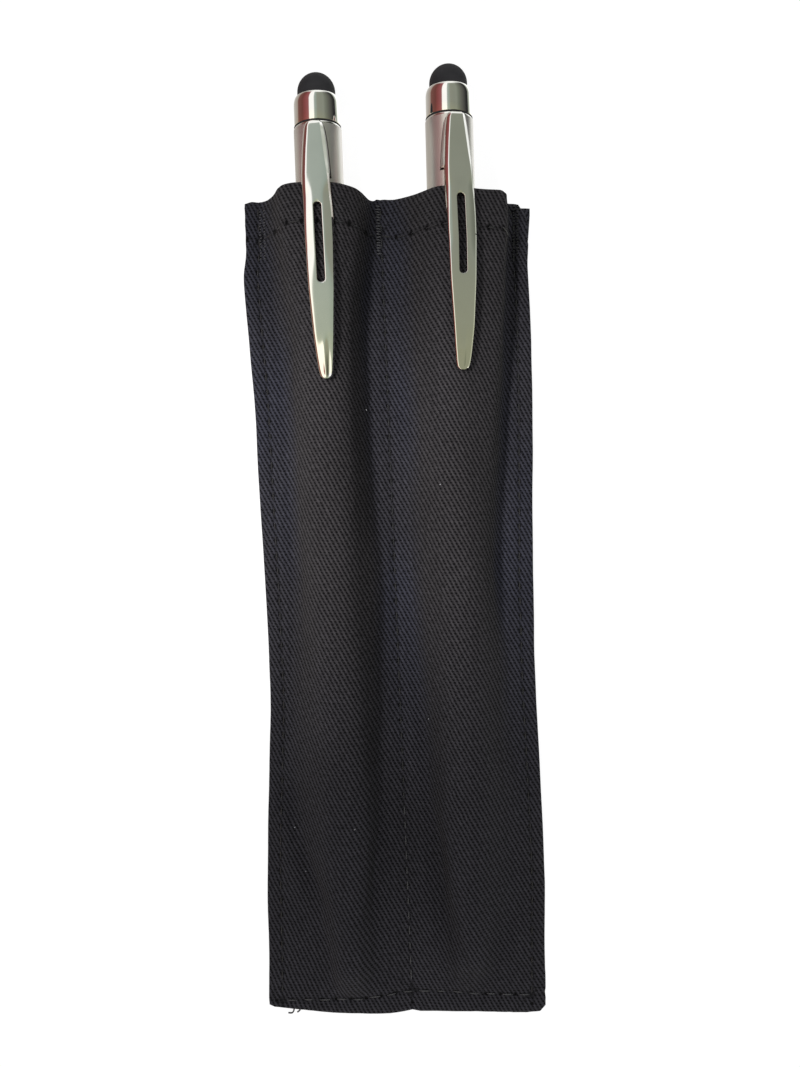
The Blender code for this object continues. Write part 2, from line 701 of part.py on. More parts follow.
def cam_sleeve(name, finish, frame):
    """The brass sleeve in the upper barrel, whose helical slot moves the pin along."""
    outer = BORE_RADIUS - SNUG_GAP
    inner = outer - SLEEVE_WALL
    foot = CENTRE_RING_BOTTOM + CENTRE_RING_LENGTH + CENTRE_RING_SPIGOT + RUN_GAP
    top = foot + SLEEVE_LENGTH
    profile = [(outer, top), (outer, foot), (inner, foot), (inner, top)]
    sleeve = turned(name, profile, finish, frame, INNER_SIDES)
    twist = math.radians(TWIST_DEG)
    slope = math.atan2(REFILL_TRAVEL, twist * inner)
    half = (PIN_RADIUS + SNUG_GAP) / math.cos(slope)
    end_turn = (PIN_RADIUS + SNUG_GAP) / inner
    sections = []
    for angle in np.linspace(-end_turn, twist + end_turn, HELIX_STEPS + 1):
        height = PIN_HEIGHT - REFILL_TRAVEL * angle / twist
        corners = (
            (inner - SLEEVE_WALL, -half),
            (outer + SLEEVE_WALL, -half),
            (outer + SLEEVE_WALL, half),
            (inner - SLEEVE_WALL, half),
        )
        sections.append(
            [(r * math.cos(angle), r * math.sin(angle), height + rise) for r, rise in corners]
        )
    cutter = add_object(f"{name}_helix", lofted_mesh(f"{name}_helix", sections), parent=frame)
    cut(sleeve, cutter)


def drive_tube(name, finish, frame):
    """The tube on the lower barrel that turns the follower by a straight slot."""
    profile = [
        (DRIVE_RADIUS, DRIVE_TOP),
        (DRIVE_RADIUS, DRIVE_FOOT + DRIVE_FLANGE),
        (SPIGOT_RADIUS, DRIVE_FOOT + DRIVE_FLANGE),
        (SPIGOT_RADIUS, DRIVE_FOOT),
        (DRIVE_BORE, DRIVE_FOOT),
        (DRIVE_BORE, DRIVE_TOP),
    ]
    tube = turned(name, profile, finish, frame, INNER_SIDES)
    spare = PIN_RADIUS + SNUG_GAP
    foot = PIN_HEIGHT - REFILL_TRAVEL - spare
    outline = slot_outline(PIN_RADIUS, 2 * spare, PIN_HEIGHT + spare, foot)
    reach = Vector((DRIVE_RADIUS + OVERRUN, 0, 0))
    cutter = add_object(f"{name}_slot", prism_mesh(f"{name}_slot", outline, reach), parent=frame)
    cut(tube, cutter)


def cam_follower(name, finish, frame):
    """The follower that carries the refill, with the pin that runs in both slots."""
    spigot = REFILL_BORE - SNUG_GAP
    foot = PIN_HEIGHT - FOLLOWER_LENGTH / 2
    top = PIN_HEIGHT + FOLLOWER_LENGTH / 2
    profile = [
        (0, top),
        (FOLLOWER_RADIUS, top),
        (FOLLOWER_RADIUS, foot),
        (spigot, foot),
        (spigot, foot - FOLLOWER_SPIGOT),
        (0, foot - FOLLOWER_SPIGOT),
    ]
    follower = turned(name, profile, finish, frame, INNER_SIDES)
    outline = [
        (0, PIN_RADIUS * math.cos(a), PIN_HEIGHT + PIN_RADIUS * math.sin(a))
        for a in np.linspace(0, FULL_TURN, PIN_SIDES, endpoint=False)
    ]
    reach = Vector((SPIGOT_RADIUS, 0, 0))
    pin = add_object(f"{name}_pin", prism_mesh(f"{name}_pin", outline, reach), parent=frame)
    cut(follower, pin, "UNION")


def refill_tube(name, finish, frame):
    """The refill's metal tube."""
    profile = [
        (REFILL_RADIUS, REFILL_TOP),
        (REFILL_RADIUS, REFILL_FOOT),
        (REFILL_BORE, REFILL_FOOT),
        (REFILL_BORE, REFILL_TOP),
    ]
    turned(name, profile, finish, frame, INNER_SIDES)


def refill_point(name, finish, frame):
    """The refill's ball point, which stands in the nose until the barrel is twisted."""
    spigot = REFILL_BORE - PRESS_GAP
    shoulder = REFILL_FOOT - PRESS_GAP
    profile = [
        (0, shoulder + POINT_SPIGOT),
        (spigot, shoulder + POINT_SPIGOT),
        (spigot, shoulder),
        (REFILL_RADIUS, shoulder),
        (POINT_RADIUS, POINT_TIP + POINT_NECK),
        (POINT_RADIUS, POINT_TIP + 2 * POINT_RADIUS),
        (BALL_RADIUS, POINT_TIP + BALL_RADIUS),
        (BALL_RADIUS / 2, POINT_TIP),
        (0, POINT_TIP),
    ]
    turned(name, profile, finish, frame, INNER_SIDES)


def pen_pieces(pen, finishes):
    """Every piece of one pen."""
    frame = pen_frame(pen)
    stylus_tip(f"stylus_tip_{pen.side}", finishes["rubber"], frame)
    tip_core(f"tip_core_{pen.side}", finishes["plastic"], frame)
    stylus_collar(f"stylus_collar_{pen.side}", finishes["chrome"], frame)
    upper_barrel(f"upper_barrel_{pen.side}", finishes["satin"], frame)
    clip(f"clip_{pen.side}", finishes["chrome"], frame)
    centre_ring(f"centre_ring_{pen.side}", finishes["chrome"], frame)
    cam_sleeve(f"cam_sleeve_{pen.side}", finishes["brass"], frame)
    lower_barrel(f"lower_barrel_{pen.side}", finishes["satin"], frame)
    nose_cone(f"nose_cone_{pen.side}", finishes["chrome"], frame)
    drive_tube(f"drive_tube_{pen.side}", finishes["brass"], frame)
    cam_follower(f"cam_follower_{pen.side}", finishes["plastic"], frame)
    refill_tube(f"refill_tube_{pen.side}", finishes["satin"], frame)
    refill_point(f"refill_point_{pen.side}", finishes["brass"], frame)


def main():
    for leftover in list(bpy.data.objects):
        bpy.data.objects.remove(leftover)
    finishes = {
        "twill": material("black twill", (0.034, 0.033, 0.036), 0.9),
        "thread": material("black thread", (0.02, 0.02, 0.022), 0.7),
        "rubber": material("stylus rubber", (0.04, 0.04, 0.043), 0.75),
        "plastic": material("inner plastic", (0.5, 0.5, 0.48), 0.5),
        "chrome": material("bright chrome", (0.8, 0.8, 0.79), 0.08, 1.0),
        "satin": material("satin metal", (0.68, 0.68, 0.67), 0.3, 1.0),
        "brass": material("brass", (0.75, 0.55, 0.26), 0.3, 1.0),
    }
    front_panel(finishes["twill"])
    back_panel(finishes["twill"])
    bar_tacks(finishes["thread"])
    for pen in PENS:
        pen_pieces(pen, finishes)


main()
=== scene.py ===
"""A black twill pouch with two slim stylus pens clipped in its pockets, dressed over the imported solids.

The pouch lies on its back, +Y runs to its mouth and +Z to its front. Cloth is worked out in
millimetres as grids of points that lie taut over the pens, sag between them and are sewn down along
the seams. A pen is modelled upright at the origin, its nose at height zero and its clip towards +X,
and is then laid in its pocket.
"""

import logging
import math
from dataclasses import dataclass, field
from enum import Enum
from typing import Callable, Iterable, Sequence

import bmesh
import bpy
import numpy as np
from mathutils import Matrix, Vector
from mathutils.kdtree import KDTree


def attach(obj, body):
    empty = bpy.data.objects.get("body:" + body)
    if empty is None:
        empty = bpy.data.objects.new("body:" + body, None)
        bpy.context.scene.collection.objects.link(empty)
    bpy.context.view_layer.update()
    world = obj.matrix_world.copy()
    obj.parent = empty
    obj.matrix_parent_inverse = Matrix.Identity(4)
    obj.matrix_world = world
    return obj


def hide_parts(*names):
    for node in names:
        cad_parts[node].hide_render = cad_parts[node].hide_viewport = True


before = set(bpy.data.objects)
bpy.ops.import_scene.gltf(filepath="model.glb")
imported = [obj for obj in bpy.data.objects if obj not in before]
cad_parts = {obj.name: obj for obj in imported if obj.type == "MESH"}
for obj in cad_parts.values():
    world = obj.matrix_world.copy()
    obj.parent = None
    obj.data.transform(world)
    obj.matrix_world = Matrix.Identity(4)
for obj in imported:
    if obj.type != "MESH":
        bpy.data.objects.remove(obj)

MM = 0.001
LOG = logging.getLogger("pen_pouch")

Point = tuple[float, float, float]
Colour = tuple[float, float, float, float]
Stations = Sequence[tuple[float, float]]
Route = Callable[[float], tuple[float, float]]
Socket = bpy.types.NodeSocket
Finish = bpy.types.Material
Piece = bpy.types.Object


class Side(Enum):
    """The two pockets, and the pens in them."""

    LEFT = "left"
    RIGHT = "right"


# ---------------------------------------------------------------- materials


class Sketch:
    """A material's node tree, drawn one node at a time."""

    def __init__(self, tree: bpy.types.NodeTree) -> None:
        """Starts on the node tree of a material or of the world."""
        self.tree = tree

    @classmethod
    def of_material(cls, name: str) -> tuple["Sketch", Finish, bpy.types.Node]:
        """A new material of this name: its sketch, the material itself and its Principled shader."""
        made = bpy.data.materials.new(name)
        made.use_nodes = True
        return cls(made.node_tree), made, made.node_tree.nodes["Principled BSDF"]

    def node(self, kind: str, **settings: object) -> bpy.types.Node:
        """A new node of this kind, named without its "ShaderNode" prefix, with these properties."""
        made = self.tree.nodes.new(f"ShaderNode{kind}")
        for name, value in settings.items():
            setattr(made, name, value)
        return made

    def wire(self, source: Socket, target: Socket) -> None:
        """Links an output to an input."""
        self.tree.links.new(source, target)

    def put(self, target: Socket, value: object) -> None:
        """Links a socket's value to the target, or sets a plain one."""
        if isinstance(value, Socket):
            self.wire(value, target)
        else:
            target.default_value = value

    def fill(self, node: bpy.types.Node, inputs: dict[str, object]) -> None:
        """Gives a node's inputs, by name, their values or sockets."""
        for name, value in inputs.items():
            self.put(node.inputs[name], value)

    def split(self, vector: Socket) -> bpy.types.bpy_prop_collection:
        """A vector's x, y and z sockets."""
        parts = self.node("SeparateXYZ")
        self.wire(vector, parts.inputs[0])
        return parts.outputs

    def math(self, operation: str, *values: object) -> Socket:
        """What a Math node makes of up to three numbers or sockets."""
        made = self.node("Math", operation=operation)
        for target, value in zip(made.inputs, values):
            self.put(target, value)
        return made.outputs[0]

    def wave(self, across: object, pitch: float) -> Socket:
        """A smooth wave from 0 to 1 with this pitch."""
        turns = self.math("MULTIPLY", across, 2 * math.pi / pitch)
        return self.math("MULTIPLY_ADD", self.math("COSINE", turns), 0.5, 0.5)

    def noise(self, vector: Socket, scale: float, detail: float = 2.0) -> Socket:
        """A noise texture's value.

        Args:
            vector: The coordinates.
            scale: How many features there are in a metre.
            detail: How many finer layers are added.

        Returns:
            The value's socket, near 0.5 on average.
        """
        made = self.node("TexNoise")
        self.fill(made, {"Vector": vector, "Scale": scale, "Detail": detail})
        return made.outputs[0]

    def ranged(self, value: Socket, low: float, high: float, start: float, end: float) -> Socket:
        """The value moved from the range start to end onto low to high."""
        made = self.node("MapRange")
        self.fill(made, {"Value": value, "From Min": start, "From Max": end, "To Min": low, "To Max": high})
        return made.outputs[0]

    def blended(self, factor: object, first: object, second: object, kind: str = "MIX") -> Socket:
        """Two colours mixed.

        Args:
            factor: How much of the second there is.
            first: A colour or a socket.
            second: A colour or a socket.
            kind: The way that they mix.

        Returns:
            The colour's socket.
        """
        made = self.node("Mix", data_type="RGBA", blend_type=kind)
        self.put(made.inputs[0], factor)
        self.put(made.inputs[6], first)
        self.put(made.inputs[7], second)
        return made.outputs[2]

    def shaded(self, colour: object, value: Socket) -> Socket:
        """A colour made darker or lighter by a value."""
        shade = self.node("CombineColor")
        for socket in shade.inputs:
            self.wire(value, socket)
        return self.blended(1.0, colour, shade.outputs[0], "MULTIPLY")

    def surface(self, kind: str, inputs: dict[str, object]) -> Socket:
        """A plain shader of this kind, with these inputs."""
        made = self.node(kind)
        self.fill(made, inputs)
        return made.outputs[0]

    def either(self, factor: Socket, first: Socket, second: Socket) -> Socket:
        """The first shader, and the second where the factor is 1."""
        made = self.node("MixShader")
        for target, value in zip(made.inputs, (factor, first, second)):
            self.wire(value, target)
        return made.outputs[0]

    def place(self, scale: Point = (1.0, 1.0, 1.0)) -> Socket:
        """The piece's own place, stretched by these factors."""
        made = self.node("Mapping")
        self.fill(made, {"Vector": self.node("TexCoord").outputs["Object"], "Scale": scale})
        return made.outputs[0]

    def bump(self, height: Socket, distance: float, strength: float, shader: bpy.types.Node) -> None:
        """Gives the shader a bump.

        Args:
            height: The height from 0 to 1.
            distance: What a height of 1 is, in metres.
            strength: How much of it shows.
            shader: The shader's node.
        """
        made = self.node("Bump")
        self.fill(made, {"Distance": distance, "Strength": strength, "Height": height})
        self.wire(made.outputs[0], shader.inputs["Normal"])


@dataclass(frozen=True)
class Twill:
    """Black twill: steep ribs from the upper left to the lower right, broken by the weft's rows, with painted shade in
    the hollows between the ribs and along the seams.
    """

    name: str = "black_twill"
    rib: Colour = (0.0505, 0.0488, 0.05, 1.0)
    hollow: Colour = (0.0042, 0.004, 0.0046, 1.0)
    warm: Colour = (1.03, 0.985, 0.99, 1.0)
    cool: Colour = (0.93, 0.975, 1.24, 1.0)
    rib_pitch: float = 0.72 * MM
    row_pitch: float = 0.455 * MM
    slope: float = 0.549
    depth: float = 0.19 * MM
    wander: float = 0.34 * MM
    fray: float = 0.2 * MM
    hole: float = 0.28 * MM
    hole_pitch: float = 2.45 * MM

    def material(self) -> Finish:
        """The cloth's material, on the cloth's own UV map, whose unit is a metre."""
        sketch, made, shader = Sketch.of_material(self.name)
        weave = sketch.node("UVMap", uv_map="weave").outputs[0]
        x, y, _ = sketch.split(weave)
        shifts = [
            sketch.math("MULTIPLY", sketch.math("SUBTRACT", sketch.noise(weave, scale, detail), 0.5), reach)
            for scale, detail, reach in ((420.0, 3.0, self.wander), (2600.0, 1.0, self.fray))
        ]
        shift = sketch.math("ADD", *shifts)
        lean = sketch.math("MULTIPLY", y, self.slope)
        across = sketch.math("ADD", sketch.math("ADD", x, lean), shift)
        along = sketch.math("ADD", y, shift)
        gap = sketch.math("POWER", sketch.wave(across, self.rib_pitch), 1.5)
        dip = sketch.wave(along, self.row_pitch)
        deep = sketch.math("MULTIPLY", gap, sketch.math("MULTIPLY_ADD", dip, 0.62, 0.38))
        height = sketch.math("SUBTRACT", 1.0, deep)
        yarn = sketch.noise(weave, 1500.0, 2.0)
        tone = sketch.ranged(yarn, 0.72, 1.28, 0.25, 0.75)
        patch = sketch.noise(sketch.place((1.0, 0.6, 1.0)), 90.0, 2.0)
        worn = sketch.ranged(patch, 0.9, 1.1, 0.3, 0.7)
        # the weave's own pattern, with painted shade: the hollows between the ribs are coloured near black
        colour = sketch.blended(sketch.math("POWER", height, 1.65), self.hollow, self.rib)
        toned = sketch.shaded(colour, sketch.math("MULTIPLY", tone, worn))
        cast = sketch.blended(self.coolness(sketch), self.warm, self.cool)
        # painted shade: the seams' drawn-in lines and needle holes are darkened towards the hollow colour, and the same
        # mask dents the bump
        seam_dents_and_shade = self.seam_shade(sketch)
        tinted = sketch.blended(1.0, toned, cast, "MULTIPLY")
        looks = {
            "Base Color": sketch.blended(seam_dents_and_shade, tinted, self.hollow),
            "Roughness": 0.92,
            "Specular IOR Level": 0.12,
            "Sheen Weight": 0.03,
            "Sheen Roughness": 0.5,
        }
        sketch.fill(shader, looks)
        fine = sketch.math("MULTIPLY_ADD", yarn, 0.18, height)
        sketch.bump(sketch.math("SUBTRACT", fine, seam_dents_and_shade), self.depth, 1.0, shader)
        return made

    def coolness(self, sketch: Sketch) -> Socket:
        """How bluish the cloth looks: less on its high parts and more on its low ones, evened out towards the bottom.
        """
        _, y, z = sketch.split(sketch.place())
        low = sketch.ranged(z, 1.0, 0.12, 1.6 * MM, 4.6 * MM)
        drift = sketch.noise(sketch.place((1.0, 0.45, 1.0)), 70.0, 1.0)
        drifted = sketch.math("MULTIPLY", low, sketch.ranged(drift, 0.5, 1.0, 0.38, 0.62))
        near_end = sketch.ranged(y, 1.0, 0.0, -48.0 * MM, -8.0 * MM)
        evened = sketch.math("MULTIPLY", sketch.math("SUBTRACT", 0.4, drifted), near_end)
        return sketch.math("ADD", drifted, evened)

    def seam_shade(self, sketch: Sketch) -> Socket:
        """A mask for painted shade along the drawn-in line of a seam and in its needle holes, on the seams' own UV map.
        """
        beside, along, _ = sketch.split(sketch.node("UVMap", uv_map="seams").outputs[0])
        away = sketch.node("CombineXYZ")
        sketch.wire(beside, away.inputs[0])
        sketch.wire(sketch.math("PINGPONG", along, self.hole_pitch / 2), away.inputs[1])
        length = sketch.node("VectorMath", operation="LENGTH")
        sketch.wire(away.outputs[0], length.inputs[0])
        hole = sketch.ranged(length.outputs["Value"], 1.0, 0.0, self.hole * 0.6, self.hole * 1.4)
        line = sketch.ranged(sketch.math("ABSOLUTE", beside), 0.22, 0.0, self.hole * 0.3, self.hole * 1.1)
        return sketch.math("MAXIMUM", hole, line)


@dataclass(frozen=True)
class Thread:
    """Sewing thread: two plies twisted close together, with a painted highlight along the crests of the twist."""

    name: str
    colour: Colour
    crest_highlight: Colour
    ply: float = 0.3 * MM

    def material(self) -> Finish:
        """The thread's material."""
        sketch, made, shader = Sketch.of_material(self.name)
        x, y, z = sketch.split(sketch.place())
        twist = sketch.wave(sketch.math("ADD", sketch.math("ADD", x, y), z), self.ply)
        fuzz = sketch.noise(sketch.place(), 4200.0, 2.0)
        mixed = sketch.math("MULTIPLY", twist, sketch.ranged(fuzz, 0.3, 1.2, 0.3, 0.7))
        # painted highlight: the crests of the twist are coloured paler, over the twist's own bump
        tint = sketch.blended(mixed, self.colour, self.crest_highlight)
        sketch.fill(shader, {"Base Color": tint, "Roughness": 0.55, "Sheen Weight": 0.1})
        sketch.bump(mixed, 0.06 * MM, 0.6, shader)
        return made


@dataclass(frozen=True)
class Rubber:
    """The matt conductive rubber of the stylus tips, with a fine tooth."""

    name: str = "matt_rubber"
    colour: Colour = (0.034, 0.034, 0.038, 1.0)
    paler: Colour = (0.05, 0.049, 0.052, 1.0)

    def material(self) -> Finish:
        """The rubber's material."""
        sketch, made, shader = Sketch.of_material(self.name)
        grain = sketch.noise(sketch.place(), 5200.0, 2.0)
        cloud = sketch.noise(sketch.place(), 420.0, 3.0)
        tint = sketch.blended(sketch.ranged(cloud, 0.0, 1.0, 0.35, 0.65), self.colour, self.paler)
        rough = sketch.ranged(cloud, 0.72, 0.86, 0.3, 0.7)
        sketch.fill(shader, {"Base Color": tint, "Roughness": rough, "Specular IOR Level": 0.28})
        sketch.bump(grain, 0.03 * MM, 0.35, shader)
        return made


@dataclass(frozen=True)
class Plating:
    """A metal finish with its own tone, polish and fine marks along the pen, and, on the clip, painted shade along its
    right edge.
    """

    name: str
    tone: Colour
    dull: float
    dullest: float
    marks: float
    grain: Point = (5200.0, 260.0, 5200.0)
    metal: float = 1.0
    shaded_edge: bool = False

    def material(self) -> Finish:
        """The metal's material."""
        sketch, made, shader = Sketch.of_material(self.name)
        hairs = sketch.noise(sketch.place(self.grain), 1.0, 2.0)
        cloud = sketch.noise(sketch.place(), 240.0, 3.0)
        handled = sketch.ranged(cloud, 0.955, 1.0, 0.3, 0.6)
        tone = sketch.shaded(self.tone, handled)
        # painted shade: a dark band on the clip's right edge near its top, where the gap beside the barrel is in shadow
        if self.shaded_edge:
            edge = sketch.node("Attribute", attribute_name="edge")
            tone = sketch.blended(edge.outputs["Fac"], tone, EDGE_SHADE)
        mixed = sketch.math("MULTIPLY_ADD", hairs, 0.5, sketch.math("MULTIPLY", cloud, 0.5))
        rough = sketch.ranged(mixed, self.dull, self.dullest, 0.3, 0.7)
        sketch.fill(shader, {"Base Color": tone, "Metallic": self.metal, "Roughness": rough})
        sketch.bump(hairs, 0.01 * MM, self.marks, shader)
        return made


@dataclass(frozen=True)
class Moulding:
    """The pale moulded plastic inside the pens."""

    name: str = "inner_moulding"
    colour: Colour = (0.5, 0.5, 0.48, 1.0)
    shadow: Colour = (0.42, 0.42, 0.4, 1.0)

    def material(self) -> Finish:
        """The plastic's material."""
        sketch, made, shader = Sketch.of_material(self.name)
        cloud = sketch.noise(sketch.place(), 600.0, 3.0)
        tint = sketch.blended(sketch.ranged(cloud, 0.0, 0.3, 0.3, 0.7), self.colour, self.shadow)
        sketch.fill(shader, {"Base Color": tint, "Roughness": sketch.ranged(cloud, 0.42, 0.56, 0.3, 0.7)})
        sketch.bump(cloud, 0.02 * MM, 0.2, shader)
        return made


def once(plan: Twill | Thread | Rubber | Plating | Moulding) -> Finish:
    """A field that holds the plan's material, made with the class."""
    return field(default_factory=plan.material)


CHROME = (0.86, 0.86, 0.84, 1.0)
SATIN = (0.76, 0.745, 0.71, 1.0)
BRASS = (0.75, 0.55, 0.26, 1.0)
# the colour of the painted shade along the clip's right edge
EDGE_SHADE = (0.16, 0.16, 0.145, 1.0)


@dataclass
class Finishes:
    """Every material of the object, each made once."""

    twill: Finish = once(Twill())
    thread: Finish = once(Thread("sunk_thread", (0.012, 0.012, 0.014, 1.0), (0.045, 0.045, 0.05, 1.0)))
    pale_thread: Finish = once(Thread("pale_thread", (0.035, 0.035, 0.039, 1.0), (0.115, 0.115, 0.122, 1.0)))
    tack_thread: Finish = once(Thread("tack_thread", (0.045, 0.045, 0.05, 1.0), (0.13, 0.13, 0.138, 1.0)))
    lint: Finish = once(Thread("lint", (0.3, 0.3, 0.31, 1.0), (0.55, 0.55, 0.56, 1.0)))
    rubber: Finish = once(Rubber())
    chrome: Finish = once(Plating("polished_plating", CHROME, dull=0.03, dullest=0.075, marks=0.03))
    # the clip's plating, with painted shade along its right edge
    stamped: Finish = once(Plating("stamped_plating", CHROME, dull=0.03, dullest=0.075, marks=0.03, shaded_edge=True))
    satin: Finish = once(Plating("satin_plating", SATIN, dull=0.31, dullest=0.37, marks=0.12, metal=0.74))
    brass: Finish = once(Plating("turned_brass", BRASS, dull=0.2, dullest=0.34, marks=0.15))
    plastic: Finish = once(Moulding())


# ---------------------------------------------------------------- modelling by hand


class Bench:
    """Edit-mode work on one new piece, whose points are picked in code and moved by operators."""

    @staticmethod
    def clear() -> None:
        """Leaves edit mode and selects nothing."""
        if bpy.context.object and bpy.context.object.mode != "OBJECT":
            bpy.ops.object.mode_set(mode="OBJECT")
        bpy.ops.object.select_all(action="DESELECT")

    @staticmethod
    def take(piece: Piece) -> None:
        """Makes the piece alone selected and active."""
        Bench.clear()
        piece.select_set(True)
        bpy.context.view_layer.objects.active = piece

    @staticmethod
    def edit(piece: Piece) -> None:
        """Opens the piece in edit mode with nothing selected."""
        Bench.take(piece)
        bpy.ops.object.mode_set(mode="EDIT")
        bpy.ops.mesh.select_mode(type="VERT")
        bpy.ops.mesh.select_all(action="DESELECT")

    @staticmethod
    def everything() -> None:
        """Selects the whole mesh in edit mode."""
        bpy.ops.mesh.select_all(action="SELECT")

    @staticmethod
    def done() -> None:
        """Leaves edit mode."""
        bpy.ops.object.mode_set(mode="OBJECT")

    @staticmethod
    def pick(test: Callable[[Vector], bool]) -> None:
        """Selects the points of the mesh in edit mode whose place passes a test."""
        bpy.ops.mesh.select_mode(type="VERT")
        mesh = bmesh.from_edit_mesh(bpy.context.object.data)
        for vertex in mesh.verts:
            vertex.select = test(vertex.co)
        mesh.select_flush_mode()
        bmesh.update_edit_mesh(bpy.context.object.data)

    @staticmethod
    def shift(x: float = 0.0, y: float = 0.0, z: float = 0.0) -> None:
        """Moves what is selected, in metres."""
        bpy.ops.transform.translate(value=(x, y, z))

    @staticmethod
    def stretch(factors: Point, centre: Point) -> None:
        """Scales what is selected about a centre."""
        bpy.ops.transform.resize(value=factors, center_override=centre)

    @staticmethod
    def outward() -> None:
        """Turns all faces of the mesh in edit mode outwards."""
        Bench.everything()
        bpy.ops.mesh.remove_doubles(threshold=0.002 * MM)
        bpy.ops.mesh.normals_make_consistent(inside=False)

    @staticmethod
    def smooth(piece: Piece, angle_deg: float = 32.0) -> None:
        """Shades the piece smooth, apart from edges sharper than this angle."""
        Bench.take(piece)
        bpy.ops.object.shade_smooth_by_angle(angle=math.radians(angle_deg))

    @staticmethod
    def lay(piece: Piece, place: Matrix) -> None:
        """Moves an upright piece to its place, which goes into its mesh."""
        Bench.take(piece)
        piece.matrix_world = place
        bpy.ops.object.transform_apply(location=True, rotation=True, scale=True)

    @staticmethod
    def linked(name: str, data: bpy.types.ID) -> Piece:
        """A new piece in the scene, with this data."""
        made = bpy.data.objects.new(name, data)
        bpy.context.scene.collection.objects.link(made)
        return made

    @staticmethod
    def closed(mesh: bpy.types.Mesh, finish: Finish) -> Piece:
        """A new piece with this closed mesh, its faces turned outwards, and this finish."""
        mesh.shade_smooth()
        mesh.materials.append(finish)
        made = Bench.linked(mesh.name, mesh)
        Bench.edit(made)
        Bench.everything()
        bpy.ops.mesh.normals_make_consistent(inside=False)
        Bench.done()
        return made

    @staticmethod
    def twin(piece: Piece, name: str) -> Piece:
        """A copy of the piece with its own mesh."""
        made = piece.copy()
        made.data = piece.data.copy()
        made.name = made.data.name = name
        bpy.context.scene.collection.objects.link(made)
        return made

    @staticmethod
    def drawn(points: Sequence[Point]) -> Piece:
        """A new piece whose line is drawn point by point, in millimetres, and is still in edit mode."""
        Bench.clear()
        bpy.ops.mesh.primitive_plane_add(size=MM, location=(0, 0, 0))
        piece = bpy.context.object
        Bench.edit(piece)
        Bench.everything()
        bpy.ops.mesh.merge(type="CENTER")
        Bench.shift(*(value * MM for value in points[0]))
        for start, end in zip(points, points[1:]):
            move = tuple((b - a) * MM for a, b in zip(start, end))
            bpy.ops.mesh.extrude_region_move(TRANSFORM_OT_translate={"value": move})
        return piece

    @staticmethod
    def cut(piece: Piece, cutter: Piece) -> None:
        """Cuts a piece with another, which goes."""
        Bench.take(piece)
        added = piece.modifiers.new("Boolean", "BOOLEAN")
        added.object, added.operation, added.solver = cutter, "DIFFERENCE", "EXACT"
        bpy.ops.object.modifier_apply(modifier=added.name)
        bpy.data.objects.remove(cutter)


def turned(name: str, profile: Sequence[tuple[float, float]], steps: int = 96) -> Piece:
    """A piece turned round the upright axis, its profile drawn point by point and spun.

    Args:
        name: The piece's name.
        profile: Points of (radius, height) in millimetres, down the outer side and up the inner one.
            One that starts and ends on the axis is left open there, and any other is closed.
        steps: How many sides the piece has.

    Returns:
        The piece, upright at the origin.
    """
    drawn = [(radius, 0.0, height) for radius, height in profile]
    if drawn[0][0] > 0:
        drawn.append(drawn[0])
    piece = Bench.drawn(drawn)
    piece.name = piece.data.name = name
    Bench.everything()
    bpy.ops.mesh.spin(steps=steps, angle=2 * math.pi, center=(0, 0, 0), axis=(0, 0, 1))
    Bench.outward()
    Bench.done()
    Bench.smooth(piece)
    return piece


def rounding(
    radius: float, height: float, size: float, start_deg: float, end_deg: float, steps: int
) -> list[tuple[float, float]]:
    """Points of a profile along an arc.

    Args:
        radius: The arc's centre, from the axis.
        height: The arc's centre, up the axis.
        size: The arc's own radius.
        start_deg: Where it starts, from the outward direction up.
        end_deg: Where it ends.
        steps: How many chords it has.

    Returns:
        Points of (radius, height).
    """
    angles = np.radians(np.linspace(start_deg, end_deg, steps + 1))
    return [(max(0.0, radius + size * math.cos(a)), height + size * math.sin(a)) for a in angles]


# ---------------------------------------------------------------- cloth


def softened(grid: np.ndarray, sigma: float, axis: int) -> np.ndarray:
    """A grid smoothed along one axis by a bell curve, with its ends held.

    Args:
        grid: The grid, whose first two axes are rows and columns.
        sigma: The bell's half width, in grid steps.
        axis: 0 for along the columns, 1 for along the rows.

    Returns:
        The smoothed grid.
    """
    reach = int(math.ceil(3 * sigma))
    bell = np.exp(-0.5 * (np.arange(-reach, reach + 1) / sigma) ** 2)
    bell /= bell.sum()
    turned_grid = np.moveaxis(grid, axis, 0)
    first, last = turned_grid[:1], turned_grid[-1:]
    before = 2 * first - turned_grid[1 : reach + 1][::-1]
    after = 2 * last - turned_grid[-reach - 1 : -1][::-1]
    padded = np.concatenate([before, turned_grid, after])
    count = len(turned_grid)
    out = sum(weight * padded[i : i + count] for i, weight in enumerate(bell))
    return np.moveaxis(out, 0, axis)


def spaced(points: np.ndarray, count: int) -> np.ndarray:
    """This many points spaced evenly along a line of points."""
    steps = np.linalg.norm(np.diff(points, axis=0), axis=1)
    reach = np.concatenate([[0], np.cumsum(steps)])
    at = np.linspace(0, reach[-1], count)
    return np.stack([np.interp(at, reach, points[:, k]) for k in range(points.shape[1])], axis=1)


def eased(share: np.ndarray) -> np.ndarray:
    """A share from 0 to 1 that starts and ends gently."""
    held = np.clip(share, 0, 1)
    return held * held * (3 - 2 * held)


def ease(share: float) -> float:
    """One share that starts and ends gently."""
    return float(eased(np.array(share)))


def spanned(place: float, span: tuple[float, float, float, float]) -> float:
    """1 inside a span, whose start and end each come with the length over which it grows or fades."""
    start, growing, end, fading = span
    return ease((place - start) / growing) * (1 - ease((place - end) / fading))


def within(distance: np.ndarray, reach: float, soft: float) -> np.ndarray:
    """1 up to this reach, and down to 0 over a soft edge."""
    return 1 - eased((distance - reach) / soft)


def bell(distance: np.ndarray, width: float) -> np.ndarray:
    """A bell curve: 1 where the distance is 0."""
    return np.exp(-((distance / width) ** 2))


